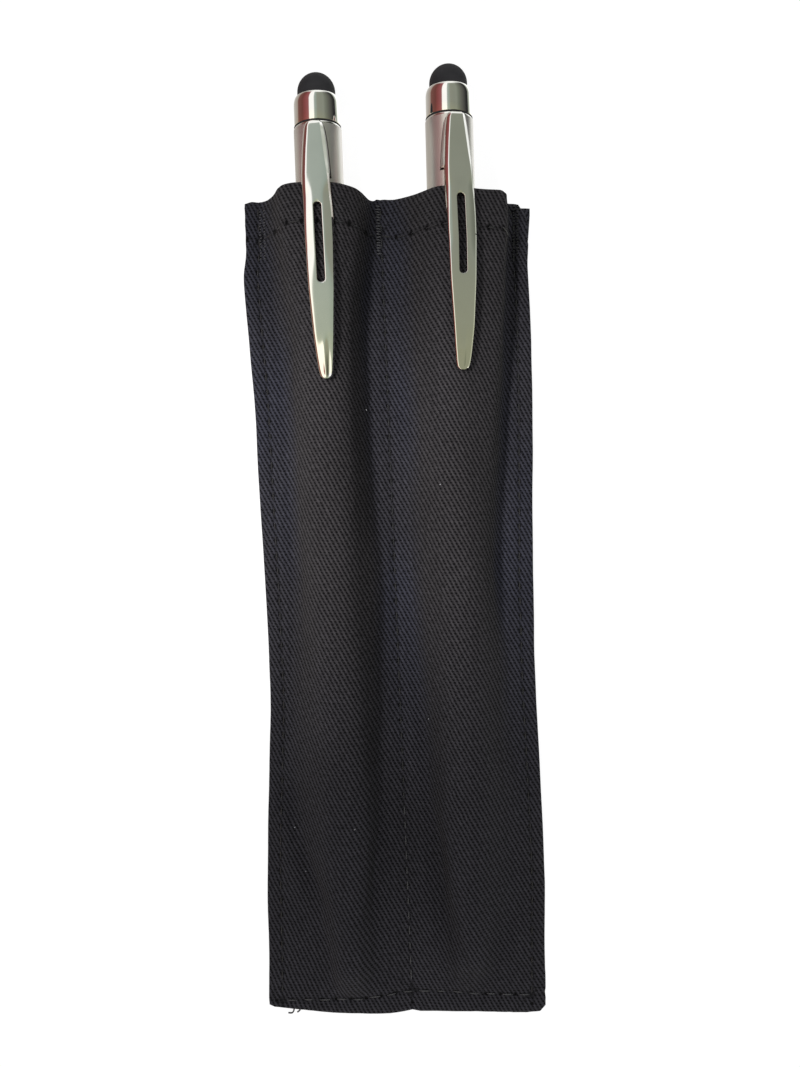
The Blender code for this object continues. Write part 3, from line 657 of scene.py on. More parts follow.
def ripple(place: np.ndarray, pitch: float) -> np.ndarray:
    """A wave from -1 to 1 with a crest at every stitch."""
    return np.cos(2 * np.pi * place / pitch)


def along_stations(y: np.ndarray, stations: Stations) -> np.ndarray:
    """Values given at stations of (y, value), read at other places."""
    ordered = sorted(stations)
    return np.interp(y, [s[0] for s in ordered], [s[1] for s in ordered])


def at_station(place: float, stations: Stations) -> float:
    """The value given at stations of (place, value), read at one place."""
    return float(along_stations(np.array(place), stations))


@dataclass(frozen=True)
class Fold:
    """A crease or ridge in the cloth, along a path seen from above, in millimetres.

    A fold may be steeper on one side: left and right are its half widths on each side of the path,
    walked from its first point to its last.
    """

    path: tuple[tuple[float, float], ...]
    height: float
    left: float
    right: float
    fade: float = 6.0

    def rise(self, x: np.ndarray, y: np.ndarray) -> np.ndarray:
        """How far the fold lifts the cloth at these places.

        Args:
            x: Places across.
            y: Places along.

        Returns:
            The lift in millimetres, negative in a crease.
        """
        best = np.full(x.shape, np.inf)
        lift = np.zeros(x.shape)
        lengths = [math.dist(a, b) for a, b in zip(self.path, self.path[1:])]
        total = sum(lengths)
        walked = 0.0
        for (ax, ay), (bx, by), length in zip(self.path, self.path[1:], lengths):
            ux, uy = (bx - ax) / length, (by - ay) / length
            run = np.clip((x - ax) * ux + (y - ay) * uy, 0, length)
            dx, dy = x - (ax + run * ux), y - (ay + run * uy)
            away = np.hypot(dx, dy)
            on_left = (ux * dy - uy * dx) > 0
            width = np.where(on_left, self.left, self.right)
            place = walked + run
            ends = eased(np.minimum(place, total - place) / self.fade)
            height = self.height * bell(away, width) * ends
            nearer = away < best
            lift = np.where(nearer, height, lift)
            best = np.minimum(best, away)
            walked += length
        return lift


@dataclass
class Cloth:
    """A sewn cloth: its upper and lower points in a grid, and the mesh made of them."""

    name: str
    upper: np.ndarray
    lower: np.ndarray
    weave: np.ndarray
    seams: np.ndarray

    def build(self, finish: Finish) -> Piece:
        """The cloth's closed mesh with a rounded rim and its two UV maps, of the weave and of the seams.

        Args:
            finish: The cloth's material.

        Returns:
            The piece.
        """
        rows, columns = self.upper.shape[:2]
        middle = (self.upper + self.lower) / 2
        ring = [(0, c) for c in range(columns)] + [(r, columns - 1) for r in range(1, rows)]
        ring += [(rows - 1, c) for c in range(columns - 2, -1, -1)] + [(r, 0) for r in range(rows - 2, 0, -1)]
        count = rows * columns
        rim = []
        for r, c in ring:
            inner = middle[min(max(r, 1), rows - 2), min(max(c, 1), columns - 2)]
            out = middle[r, c] - inner
            out /= np.linalg.norm(out) or 1
            thick = np.linalg.norm(self.upper[r, c] - self.lower[r, c])
            rim.append(middle[r, c] + out * thick * 0.45)
        places = np.concatenate([self.upper.reshape(-1, 3), self.lower.reshape(-1, 3), np.array(rim)])
        faces = []
        for r in range(rows - 1):
            for c in range(columns - 1):
                a, b = r * columns + c, r * columns + c + 1
                faces.append((a, a + columns, b + columns, b))
                faces.append((a + count, b + count, b + count + columns, a + count + columns))
        for i, (r, c) in enumerate(ring):
            j = (i + 1) % len(ring)
            a, b = r * columns + c, ring[j][0] * columns + ring[j][1]
            faces.append((a, b, 2 * count + j, 2 * count + i))
            faces.append((2 * count + i, 2 * count + j, b + count, a + count))
        mesh = bpy.data.meshes.new(self.name)
        mesh.from_pydata((places * MM).tolist(), [], faces)
        corners = np.empty(len(mesh.loops), np.int32)
        mesh.loops.foreach_get("vertex_index", corners)
        for name, values in (("weave", self.weave), ("seams", self.seams)):
            layer = mesh.uv_layers.new(name=name)
            around = np.array([values[r, c] for r, c in ring])
            flat = np.concatenate([values.reshape(-1, 2)] * 2 + [around]) * MM
            layer.data.foreach_set("uv", flat[corners].astype(np.float32).ravel())
        return Bench.closed(mesh, finish)


def grid_normals(points: np.ndarray) -> np.ndarray:
    """Upward unit normals of a grid whose rows run to -Y and whose columns run to +X."""
    down = np.gradient(points, axis=0)
    right = np.gradient(points, axis=1)
    normals = np.cross(down, right)
    return normals / np.maximum(np.linalg.norm(normals, axis=2, keepdims=True), 1e-9)


@dataclass(frozen=True)
class Pocket:
    """How the cloth stands over one pen, in millimetres from the pen's axis.

    The nose is where the pen ends and drift how far its axis moves across for each millimetre up. The
    mouth is the open end's section, left and right are how far from the axis the cloth leaves the floor,
    and opening is how far below the mouth the section starts to open.
    """

    nose: tuple[float, float]
    drift: float
    mouth: tuple[tuple[float, float], ...]
    left: Stations
    right: Stations
    opening: float

    def axis(self, y: float) -> float:
        """Where the pen's axis runs, seen from above."""
        return self.nose[0] + self.drift * (y - self.nose[1])


@dataclass
class FrontPanel:
    """The front of the pouch: one cloth, raised into two pockets by the pens, in millimetres."""

    axis_height: float = 4.8
    over_barrel: float = 4.5
    cone_length: float = 20.0
    over_tip: float = 2.4
    cone_swell: float = 0.25
    past_nose: float = 4.5
    sink_length: float = 5.2
    deepest: float = 0.27
    least: float = 0.15
    edge_top: float = 1.25
    seam_top: float = 1.0
    cloth: float = 0.3
    hem: float = 6.5
    side_turn: float = 5.0
    mouth: float = 55.5
    foot: float = -77.1
    length: float = 132.4
    row_inset: float = 2.1
    hem_row: float = 5.8
    pitch: float = 2.45
    hem_pitch: float = 2.4
    pucker_pitch: float = 2.5
    rows: int = 250
    flat_columns: int = 15
    arch_columns: int = 46
    seam_columns: int = 9
    left_edge: Stations = (
        (55.1, -24.83), (53.7, -24.63), (52.0, -24.8), (51.0, -24.5), (50.25, -24.52), (49.5, -24.78),
        (49.0, -24.5), (46.8, -24.52), (45.2, -24.77), (43.6, -24.88), (41.1, -24.66), (39.2, -24.47),
        (36.3, -24.25), (30.5, -23.77), (26.0, -23.35), (22.3, -23.1), (14.0, -22.56), (5.8, -22.15),
        (-2.4, -21.7), (-10.6, -21.2), (-18.8, -20.8), (-24.5, -20.5), (-28.5, -20.5), (-33.0, -20.6),
        (-37.0, -20.68), (-43.5, -20.83), (-49.0, -20.95), (-54.0, -21.0), (-60.0, -20.9), (-70.0, -20.75),
        (-76.2, -20.75),
    )
    right_edge: Stations = (
        (55.3, 20.1), (54.5, 20.25), (54.0, 21.3), (51.0, 21.45), (48.5, 21.47), (46.0, 21.4), (43.5, 21.6),
        (38.7, 21.88), (33.4, 22.1), (22.3, 22.28), (5.8, 22.33), (-6.0, 22.35), (-10.6, 22.45), (-14.0, 22.6),
        (-18.8, 22.68), (-27.1, 23.03), (-35.3, 23.5), (-43.5, 23.88), (-51.7, 24.25), (-57.0, 24.43),
        (-60.0, 24.38), (-76.2, 24.4),
    )
    mouth_edge: Stations = (
        (-25.0, 55.2), (-23.8, 55.5), (-21.2, 55.35), (-20.0, 55.5), (-16.0, 55.8), (-8.0, 55.8),
        (-4.1, 55.6), (-3.6, 55.55), (-3.1, 56.0), (-2.3, 55.9), (-0.5, 55.6), (3.0, 55.4), (9.0, 55.4),
        (17.0, 55.35), (18.2, 55.05), (22.0, 55.0),
    )
    bottom_edge: Stations = (
        (-20.95, -76.15), (-20.6, -76.35), (-20.1, -76.58), (-18.3, -76.76), (-14.5, -77.15), (-11.0, -77.3),
        (-7.6, -77.47), (-4.1, -77.63), (-0.7, -77.58), (1.0, -77.4), (2.3, -77.12), (2.8, -77.1),
        (3.6, -77.3), (4.6, -77.36), (7.0, -77.25), (13.0, -77.2), (18.1, -77.45), (21.6, -77.4),
        (23.3, -77.2), (24.0, -77.05), (24.2, -76.5), (24.6, -76.2),
    )
    bottom_seam: Stations = (
        (-20.0, -75.6), (-17.2, -75.5), (-12.3, -75.35), (-8.7, -75.05), (-4.5, -75.0), (-1.3, -74.55),
        (0.7, -74.15), (4.6, -74.0), (10.4, -73.9), (13.0, -74.25), (15.9, -74.45), (24.0, -74.45),
    )
    puff: Stations = (
        (-77, 0.0), (-74.2, 0.0), (-71, 0.9), (-66, 1.5), (-55, 1.2), (-30, 0.7), (20, 0.2), (45, 0.1), (55, 0.0),
    )
    waves: tuple[tuple[float, float, float, float], ...] = (
        (0.33, 0.11, 0.3, 0.1), (-0.21, 0.19, 1.7, 0.1), (0.52, 0.27, 2.9, 0.06), (0.71, -0.33, 0.9, 0.045),
        (0.15, 0.52, 2.2, 0.05),
    )
    pockets: dict[Side, Pocket] = field(
        default_factory=lambda: {
            Side.LEFT: Pocket(
                nose=(-7.486, -64.647),
                drift=-0.03842,
                mouth=(
                    (-9.9, 1.25), (-8.6, 2.7), (-7.5, 4.6), (-6.9, 6.4), (-6.3, 8.3), (-5.2, 9.2), (-3.8, 9.45),
                    (-2.5, 9.6), (1.5, 9.6), (2.9, 9.25), (4.2, 8.3), (5.6, 7.3), (6.4, 5.9), (7.2, 3.5), (8.0, 1.2),
                ),
                left=(
                    (40, 8.2), (20, 7.3), (-5, 6.9), (-21, 7.6), (-37, 8.6), (-50, 6.6), (-60, 4.6), (-66, 3.8),
                    (-75, 3.2),
                ),
                right=(
                    (54, 7.6), (47, 6.0), (40, 5.9), (22, 6.3), (0, 7.4), (-10, 7.9), (-26, 6.8), (-45, 5.4),
                    (-55, 4.4), (-66, 4.4), (-75, 3.6),
                ),
                opening=26.0,
            ),
            Side.RIGHT: Pocket(
                nose=(11.945, -63.306),
                drift=-0.02496,
                mouth=(
                    (-9.9, 1.2), (-8.3, 2.4), (-6.8, 3.9), (-5.3, 5.6), (-3.9, 7.4), (-2.4, 9.0), (0.0, 9.4),
                    (2.2, 8.9), (3.3, 8.0), (5.8, 7.4), (7.6, 7.3), (8.4, 7.0), (8.7, 5.2), (8.85, 3.0),
                    (9.0, 1.5), (9.6, 1.25),
                ),
                left=((40, 9.2), (20, 8.0), (0, 7.8), (-17, 8.2), (-41, 5.8), (-57, 4.2), (-66, 4.0), (-75, 3.4)),
                right=(
                    (55, 9.8), (47, 9.0), (40, 8.2), (20, 7.0), (-5, 6.6), (-17, 7.2), (-40, 8.0), (-57, 7.0),
                    (-66, 5.0), (-75, 3.6),
                ),
                opening=62.0,
            ),
        }
    )
    folds: tuple[Fold, ...] = (
        # the slack between the centre seam and the right pen, pushed up and creased beside it
        Fold(((1.8, -8.0), (2.6, -16.0), (4.4, -30.0), (5.8, -41.0)), -0.55, 2.2, 1.5, 10.0),
        Fold(((5.8, -41.0), (6.2, -44.0), (7.6, -58.0), (8.6, -68.0)), -0.5, 1.2, 1.5, 9.0),
        Fold(((1.9, -18.0), (3.0, -34.0), (4.2, -50.0), (5.0, -62.0)), 0.35, 0.9, 1.3, 10.0),
        # the fold that crosses the right pocket's end
        Fold(((8.6, -60.0), (11.2, -68.5), (13.6, -73.5)), -0.4, 1.1, 1.0, 5.0),
        # the crease that runs from the left pocket's side under the pen's nose
        Fold(((-17.3, -36.0), (-16.6, -45.0), (-13.6, -54.5), (-9.6, -63.0)), -0.42, 1.1, 1.3, 8.0),
        Fold(((-19.2, -40.0), (-17.6, -52.0), (-14.6, -62.0)), 0.4, 1.4, 1.4, 8.0),
        # the soft line left of the left pen
        Fold(((-18.9, 46.0), (-17.6, 36.0), (-16.6, 14.0), (-15.6, -6.0), (-15.4, -24.0)), -0.3, 0.9, 1.0, 10.0),
        # the crease right of the right pen, below the mouth's corner
        Fold(((19.3, 53.0), (18.4, 40.0), (17.2, 20.0), (16.9, -4.0), (17.7, -18.0)), -0.35, 1.0, 1.0, 9.0),
    )

    def stretch(self, pocket: Pocket, y: float, floor: float, count: int) -> np.ndarray:
        """The cloth's section over a pen: taut over it, and open at the mouth.

        Args:
            pocket: The pocket.
            y: Where the section is.
            floor: How high the cloth leaves its sewn part.
            count: How many points the section has.

        Returns:
            Points of (x, z).
        """
        height = y - pocket.nose[1]
        radius = self.over_barrel
        centre = self.axis_height
        if height < self.cone_length:
            share = max(0.0, height / self.cone_length)
            swell = self.cone_swell * math.sin(math.pi * share)
            radius = self.over_tip + (self.over_barrel - self.over_tip) * share + swell
        if height < -self.past_nose:
            sunk = ease((-self.past_nose - height) / self.sink_length)
            centre -= sunk * (self.axis_height + radius - floor - 0.1)
        left = at_station(y, pocket.left)
        right = at_station(y, pocket.right)
        line = spaced(self.taut(left, right, radius, centre, floor), count)
        open_share = ease((y - (self.mouth - pocket.opening)) / pocket.opening)
        if open_share > 0:
            line = line * (1 - open_share) + spaced(np.array(pocket.mouth), count) * open_share
        line[:, 0] += pocket.axis(y)
        return line

    @staticmethod
    def taut(left: float, right: float, radius: float, centre: float, floor: float) -> np.ndarray:
        """A line from the floor up over a circle and down to the floor, as a taut cloth lies.

        Args:
            left: How far left of the circle it leaves the floor.
            right: How far right of the circle it meets the floor.
            radius: The circle's radius.
            centre: The height of its centre.
            floor: The floor's height.

        Returns:
            Points of (x, z).
        """
        drop = centre - floor
        touch = []
        for reach in (left, right):
            far = math.hypot(reach, drop)
            if far <= radius * 1.02:
                touch.append(0.0)
                continue
            slope = math.atan2(drop, reach) + math.asin(min(1.0, radius / far))
            touch.append(max(0.0, math.pi / 2 - slope))
        angles = np.linspace(math.pi - touch[0], touch[1], 40)
        over = np.stack([radius * np.cos(angles), centre + radius * np.sin(angles)], axis=1)
        over[:, 1] = np.maximum(over[:, 1], floor)
        return np.concatenate([[(-left, floor)], over, [(right, floor)]])

    def section(self, y: float) -> np.ndarray:
        """The whole section across the pouch at y, as points of (x, z)."""
        frayed = 0.05 * math.sin(4.3 * y) + 0.04 * math.sin(7.9 * y + 1.3)
        left_edge = at_station(y, self.left_edge) + frayed
        right_edge = at_station(y, self.right_edge) - frayed
        seam = self.seam(y)
        floor = self.edge_top + at_station(y, self.puff)
        first = self.stretch(self.pockets[Side.LEFT], y, floor, self.arch_columns)
        second = self.stretch(self.pockets[Side.RIGHT], y, floor, self.arch_columns)

        def joined(start: Sequence[float], end: Sequence[float], across: np.ndarray, up: np.ndarray) -> np.ndarray:
            """Points from start to end, at these shares of the way across and up."""
            return np.stack([start[0] + (end[0] - start[0]) * across, start[1] + (end[1] - start[1]) * up], axis=1)

        begun = np.linspace(0, 1, self.flat_columns, endpoint=False)
        ended = np.linspace(0, 1, self.flat_columns + 1)[1:]
        down = np.linspace(0, 1, self.seam_columns // 2 + 2)[1:]
        up = down[:-1]
        sewn = (seam, self.seam_top)
        left_flat = joined((left_edge, self.edge_top), first[0], begun, eased(begun))
        right_flat = joined(second[-1], (right_edge, self.edge_top), ended, eased(ended))
        into, out = joined(first[-1], sewn, down, down**1.5), joined(sewn, second[0], up, up**0.7)
        return np.concatenate([left_flat, first, into, out, second, right_flat])

    @staticmethod
    def seam(y: np.ndarray) -> np.ndarray:
        """Where the centre seam runs at one place or many."""
        return -2.64 + (55.2 - y) * 5.26 / 129.4

    def points(self) -> tuple[np.ndarray, np.ndarray]:
        """The cloth's upper and lower points.

        Returns:
            Two grids of (x, y, z), whose rows run from the mouth to the bottom.
        """
        places = np.linspace(self.mouth, self.foot, self.rows)
        sections = np.stack([self.section(y) for y in places])
        grid = np.empty((self.rows, sections.shape[1], 3))
        grid[..., 0], grid[..., 2] = sections[..., 0], sections[..., 1]
        share = np.linspace(0, 1, self.rows)[:, None]
        top = along_stations(grid[0, :, 0], self.mouth_edge)[None, :]
        bottom = along_stations(grid[-1, :, 0], self.bottom_edge)[None, :]
        grid[..., 1] = top + (bottom - top) * share
        smooth = softened(softened(grid, 1.0, 1), 1.4, 0)
        flowing = softened(softened(grid, 3.2, 1), 4.0, 0)
        share = eased((-8.0 - grid[..., 1]) / 40.0) * eased((grid[..., 1] + 76.0) / 4.0)
        smooth[..., 2] += (flowing[..., 2] - smooth[..., 2]) * share
        smooth[..., 1] = grid[..., 1]
        normals = grid_normals(smooth)
        x, y = smooth[..., 0], smooth[..., 1]
        # the lower face follows the creases, and goes down where a seam would come through it
        creased = np.minimum(self.folded(x, y), 0.0)
        lift = np.maximum(self.lift(x, y, grid), creased - self.deepest)
        upper = smooth + normals * lift[..., None]
        pulled = np.minimum(lift - creased + self.least, 0.0)
        lower = smooth + normals * (creased + pulled - self.thickness(x, y) + 0.02)[..., None]
        return upper, lower

    def edge_distance(self, x: np.ndarray, y: np.ndarray) -> tuple[np.ndarray, np.ndarray]:
        """How far places are from the left and from the right edge."""
        return x - along_stations(y, self.left_edge), along_stations(y, self.right_edge) - x

    def thickness(self, x: np.ndarray, y: np.ndarray) -> np.ndarray:
        """How thick the cloth is: doubled in the hem and where the sides and the bottom are turned in."""
        left, right = self.edge_distance(x, y)
        doubled = np.maximum.reduce(
            [
                within(self.mouth - y, self.hem, 0.5),
                within(left, self.side_turn, 0.5),
                within(right, self.side_turn, 0.5),
                within(y + 77.0, self.side_turn, 0.5),
            ]
        )
        return self.cloth * (1 + 0.85 * doubled)

    def folded(self, x: np.ndarray, y: np.ndarray) -> np.ndarray:
        """How far the folds lift the cloth at these places."""
        return sum((fold.rise(x, y) for fold in self.folds), np.zeros(x.shape))

    def lift(self, x: np.ndarray, y: np.ndarray, grid: np.ndarray) -> np.ndarray:
        """What the sewing, the turned layers and the folds add to the taut cloth.

        Args:
            x: Places across.
            y: Places along.
            grid: The taut cloth before it was softened.

        Returns:
            The lift along the cloth's normals.
        """
        left, right = self.edge_distance(x, y)
        from_mouth = along_stations(x, self.mouth_edge) - y
        from_bottom = y - along_stations(x, self.bottom_edge)
        from_row = y - along_stations(x, self.bottom_seam)
        from_seam = x - self.seam(y)
        high = eased((grid[..., 2] - 2.0) / 5.0)
        lift = 0.17 * within(from_mouth, self.hem, 0.7) * (0.35 + 0.65 * high)
        for away in (left, right):
            lift += 0.12 * within(away, self.side_turn, 0.8) * (1 - high)
        lift += 0.1 * within(from_bottom, self.side_turn, 0.8)
        lift -= 0.16 * bell(from_mouth - self.hem_row, 0.35) * (1 + 0.5 * ripple(x, self.hem_pitch))
        for away in (left, right):
            lift -= 0.2 * bell(away - self.row_inset, 0.4) * (1 + 0.5 * ripple(y, self.pitch))
        lift -= 0.26 * bell(from_row, 0.45) * (1 + 0.45 * ripple(x, self.pitch))
        lift -= 0.26 * bell(from_seam, 0.35) * (1 + 0.5 * ripple(y, self.pitch))
        sway = 0.5 * np.sin(y * 0.61 + 1.0) + 0.5 * np.sin(y * 0.23)
        pucker = np.cos(2 * np.pi * y / self.pucker_pitch + 0.8 * sway) * bell(np.abs(from_seam) - 0.9, 0.9)
        lift += 0.1 * pucker * (1 - high)
        edge_pucker = np.cos(2 * np.pi * y / self.pitch + 1.3 * sway)
        for away in (left, right):
            lift += 0.05 * edge_pucker * bell(away - 1.2, 0.9)
        lift += 0.07 * ripple(x, self.pitch) * bell(from_bottom - 1.0, 0.8)
        lift += self.folded(x, y)
        slack = 1 - 0.75 * high
        for index, (across, along, turn, size) in enumerate(self.waves):
            lift += size * slack * np.sin(across * x + along * y + turn + 0.4 * index)
        lift -= 0.22 * bell(np.minimum.reduce([left, right, from_bottom]), 0.45)
        return lift

    def weave(self, upper: np.ndarray) -> np.ndarray:
        """Where each point lies on the flat cloth, eased out both ways from the centre seam."""
        steps = np.linalg.norm(np.diff(upper[..., [0, 2]], axis=1), axis=2)
        walked = np.concatenate([np.zeros((len(upper), 1)), np.cumsum(steps, axis=1)], axis=1)
        slack = softened(walked - upper[..., 0], 8.0, 0)
        middle = self.flat_columns + self.arch_columns + self.seam_columns // 2
        eased_out = slack - slack[:, middle : middle + 1]
        return np.stack([upper[..., 0] + 0.22 * eased_out, upper[..., 1]], axis=2)

    def seams(self, upper: np.ndarray) -> np.ndarray:
        """How far each point is from the nearest row of sewing, and where it is along that row."""
        x, y = upper[..., 0], upper[..., 1]
        left, right = self.edge_distance(x, y)
        choices = [
            (x - self.seam(y), y),
            (left - self.row_inset, y),
            (right - self.row_inset, y),
            (0.6 * (along_stations(x, self.mouth_edge) - y - self.hem_row), x),
            (y - along_stations(x, self.bottom_seam), x),
        ]
        away, along = (np.stack(values) for values in zip(*choices))
        nearest = np.abs(away).argmin(axis=0)[None]
        picked = [np.take_along_axis(values, nearest, axis=0)[0] for values in (away, along)]
        return np.stack(picked, axis=2)

    def build(self, finish: Finish) -> tuple[Piece, np.ndarray]:
        """The front panel's piece and its upper points."""
        upper, lower = self.points()
        made = Cloth("front_cloth", upper, lower, self.weave(upper), self.seams(upper)).build(finish)
        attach(made, "pouch")
        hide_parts("front_panel")
        lengths = np.linalg.norm(np.diff(upper, axis=1), axis=2).sum(axis=1)
        return made, upper


@dataclass
class BackPanel:
    """The back of the pouch, flat on what it lies on, with its own turned edges."""

    rows: int = 130
    columns: int = 70
    cloth: float = 0.3
    top: float = 0.6
    drawn: float = 0.14
    drawn_width: float = 0.45
    flat: tuple[float, float] = (46.5, 132.0)
    mouth_edge: Stations = (
        (-24.8, 55.0), (-20.0, 55.25), (0.0, 55.3), (18.0, 55.2), (19.9, 54.95), (20.3, 54.65), (22.0, 54.65),
    )

    def build(self, front: FrontPanel, finish: Finish) -> tuple[Piece, np.ndarray]:
        """The back panel's piece and its lower points.

        Args:
            front: The front panel, whose outline this follows.
            finish: The cloth's material.

        Returns:
            The piece and its lower points.
        """
        places = np.linspace(55.3, -76.85, self.rows)
        right_edge = ((55.3, 21.95), (50.5, 21.65)) + tuple(s for s in front.right_edge if s[0] < 50)
        share = np.linspace(0, 1, self.columns)[None, :]
        left = along_stations(places, front.left_edge)[:, None]
        right = along_stations(places, right_edge)[:, None]
        x = left + (right - left) * share
        top = along_stations(x[0], self.mouth_edge)
        bottom = along_stations(x[-1], front.bottom_edge)
        y = top[None, :] + (bottom - top)[None, :] * np.linspace(0, 1, self.rows)[:, None]
        from_side = np.minimum(x - left, right - x)
        from_bottom = y - bottom[None, :]
        from_mouth = top[None, :] - y
        from_seam = x - front.seam(y)
        turned_in = np.maximum.reduce(
            [
                within(from_side, front.side_turn, 0.6),
                within(from_bottom, front.side_turn, 0.6),
                within(from_mouth, front.hem, 0.6),
            ]
        )
        upper_z = self.cloth + (self.top - self.cloth) * turned_in
        from_row = y - along_stations(x, front.bottom_seam)
        drawn, wide = self.drawn, self.drawn_width
        rise = drawn * bell(from_side - front.row_inset, wide) * (1 + 0.5 * ripple(y, front.pitch))
        rise += drawn * bell(from_row, wide) * (1 + 0.5 * ripple(x, front.pitch))
        rise += drawn * bell(from_mouth - front.hem_row, wide) * (1 + 0.5 * ripple(x, front.hem_pitch))
        rise += drawn * bell(from_seam, wide) * (1 + 0.4 * ripple(y, front.pucker_pitch))
        rim = 0.1 * bell(np.minimum.reduce([from_side, from_bottom, from_mouth]), 0.4)
        rise += rim
        lower = np.stack([x, y, 0.01 + rise], axis=2)
        upper = np.stack([x, y, np.maximum(upper_z, 0.25 + rise) - rim], axis=2)
        weave = np.stack([-x, y], axis=2)
        made = Cloth("back_cloth", upper, lower, weave, front.seams(upper)).build(finish)
        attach(made, "pouch")
        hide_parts("back_panel")
        width, length = self.flat
        return made, lower


class Ground:
    """A cloth's face that sewing goes into: finds the height and the normal at a place seen from above."""

    def __init__(self, points: np.ndarray, up: float = 1.0, sloped: bool = False) -> None:
        """Stores the face.

        Args:
            points: The face's grid of points.
            up: 1 where the face looks up and -1 where it looks down.
            sloped: Whether heights follow the slope between its points.
        """
        self.sloped = sloped
        self.points = points.reshape(-1, 3)
        self.normals = (grid_normals(points) * up).reshape(-1, 3)
        self.tree = KDTree(len(self.points))
        for index, (x, y, _) in enumerate(self.points):
            self.tree.insert((x, y, 0), index)
        self.tree.balance()

    def height(self, index: int, x: float, y: float) -> float:
        """The face's height at a place, by one of its points near it."""
        point, normal = self.points[index], self.normals[index]
        if not self.sloped:
            return point[2]
        return point[2] - float(np.dot(normal[:2], (x - point[0], y - point[1]))) / max(0.3, normal[2])

    def at(self, x: float, y: float) -> tuple[np.ndarray, np.ndarray]:
        """The face's point and normal at a place seen from above."""
        near = self.tree.find_n((x, y, 0), 4)
        weights = np.array([1 / (0.02 + distance) for _, _, distance in near])
        weights /= weights.sum()
        height = sum(w * self.height(i, x, y) for w, (_, i, _) in zip(weights, near))
        normal = sum(w * self.normals[i] for w, (_, i, _) in zip(weights, near))
        return np.array((x, y, height)), normal / np.linalg.norm(normal)


@dataclass(frozen=True)
class Tack:
    """Where a bar tack's columns of stitches run, in millimetres, and how much its thread shows."""

    x: float
    lean: float
    finish: Finish
    columns: tuple[float, ...] = (0.0,)
    width: float = 0.88
    top: float = 55.1
    count: int = 18
    proud: float = 0.75


@dataclass
class Stitching:
    """Rows of stitches and bar tacks, each stitch a copy of one modelled by hand."""

    finishes: Finishes
    thread: float = 0.27
    sides: int = 8
    rings: int = 6
    tack_length: float = 8.2
    tack_thread: float = 0.24

    def stitch(self) -> np.ndarray:
        """Models one stitch a millimetre long, bowed, with ends that go down into the cloth.

        Returns:
            Its points, and keeps its faces for the copies.
        """
        Bench.clear()
        bpy.ops.mesh.primitive_uv_sphere_add(segments=self.sides, ring_count=self.rings, radius=0.5 * MM)
        piece = bpy.context.object
        Bench.edit(piece)
        Bench.everything()
        bpy.ops.transform.rotate(value=math.pi / 2, orient_axis="Y", center_override=(0, 0, 0))
        for end in (-1, 1):
            Bench.pick(lambda place, end=end: place.x * end > 0.3 * MM)
            Bench.stretch((1.0, 0.8, 0.8), (0, 0, 0))
            Bench.shift(z=-0.16 * MM)
            Bench.pick(lambda place, end=end: place.x * end > 0.47 * MM)
            Bench.shift(z=-0.22 * MM)
        Bench.outward()
        Bench.done()
        mesh = piece.data
        points = np.array([vertex.co for vertex in mesh.vertices]) / MM
        self.faces = [tuple(face.vertices) for face in mesh.polygons]
        bpy.data.objects.remove(piece)
        return points

    def sewn(
        self, name: str, ground: Ground, stitches: Iterable[Sequence[float]], finish: Finish, proud: float = 0.12
    ) -> Piece:
        """A row of stitches as one piece.

        Args:
            name: The piece's name.
            ground: The face that it is sewn into.
            stitches: For each stitch the x, y, direction in radians, length and width.
            finish: The thread's material.
            proud: How much of its width a stitch's middle stands over the cloth.

        Returns:
            The piece.
        """
        template = self.stitch()
        places, faces = [], []
        for x, y, turn, length, width in stitches:
            place, normal = ground.at(x, y)
            start, _ = ground.at(x - math.cos(turn) * length / 2, y - math.sin(turn) * length / 2)
            end, _ = ground.at(x + math.cos(turn) * length / 2, y + math.sin(turn) * length / 2)
            along = (end - start) / np.linalg.norm(end - start)
            across = np.cross(normal, along)
            across /= np.linalg.norm(across)
            up = np.cross(along, across)
            shaped = template * (np.linalg.norm(end - start), width, width * 0.9)
            first = len(places) * len(template)
            places.append(
                place + normal * width * proud + shaped[:, :1] * along + shaped[:, 1:2] * across + shaped[:, 2:] * up
            )
            faces += [tuple(i + first for i in face) for face in self.faces]
        mesh = bpy.data.meshes.new(name)
        mesh.from_pydata((np.concatenate(places) * MM).tolist(), [], faces)
        made = Bench.closed(mesh, finish)
        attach(made, "pouch")
        return made

    def row(self, name: str, ground: Ground, path: Route, length: float, pitch: float, paler: bool = False) -> None:
        """Sews a row of stitches along a path.

        Args:
            name: The piece's name.
            ground: The face that it is sewn into.
            path: The place at each distance along the row.
            length: How long the row is.
            pitch: How long a stitch and its gap are.
            paler: Whether the thread is the paler one.
        """
        stitches = []
        for k in range(int(length / pitch)):
            middle = (k + 0.5) * pitch
            (ax, ay), (bx, by) = path(middle - pitch / 2), path(middle + pitch / 2)
            sway = 0.04 * math.sin(k * 2.7)
            long = pitch * (0.66 + 0.1 * math.sin(k * 4.1))
            stitches.append(((ax + bx) / 2, (ay + by) / 2 + sway, math.atan2(by - ay, bx - ax), long, self.thread))
        if paler:
            self.sewn(name, ground, stitches, self.finishes.pale_thread, 0.3)
        else:
            self.sewn(name, ground, stitches, self.finishes.thread)

    def tack(self, name: str, node: str, ground: Ground, plan: Tack) -> None:
        """Sews a bar tack: close stitches that run to and fro, in one column or more."""
        stitches = []
        for k in range(plan.count):
            y = plan.top - self.tack_length * (k + 0.5) / plan.count
            for column in plan.columns:
                middle = plan.x + column + plan.lean * (plan.top - y)
                turn = 0.1 if k % 2 else -0.12
                wide = plan.width * (1 + 0.14 * math.sin(k * 1.9 + column))
                sway = 0.05 * math.sin(k * 2.3 + column)
                stitches.append((middle + sway, y, turn, wide, self.tack_thread))
        made = self.sewn(name, ground, stitches, plan.finish, plan.proud)
        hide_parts(node)


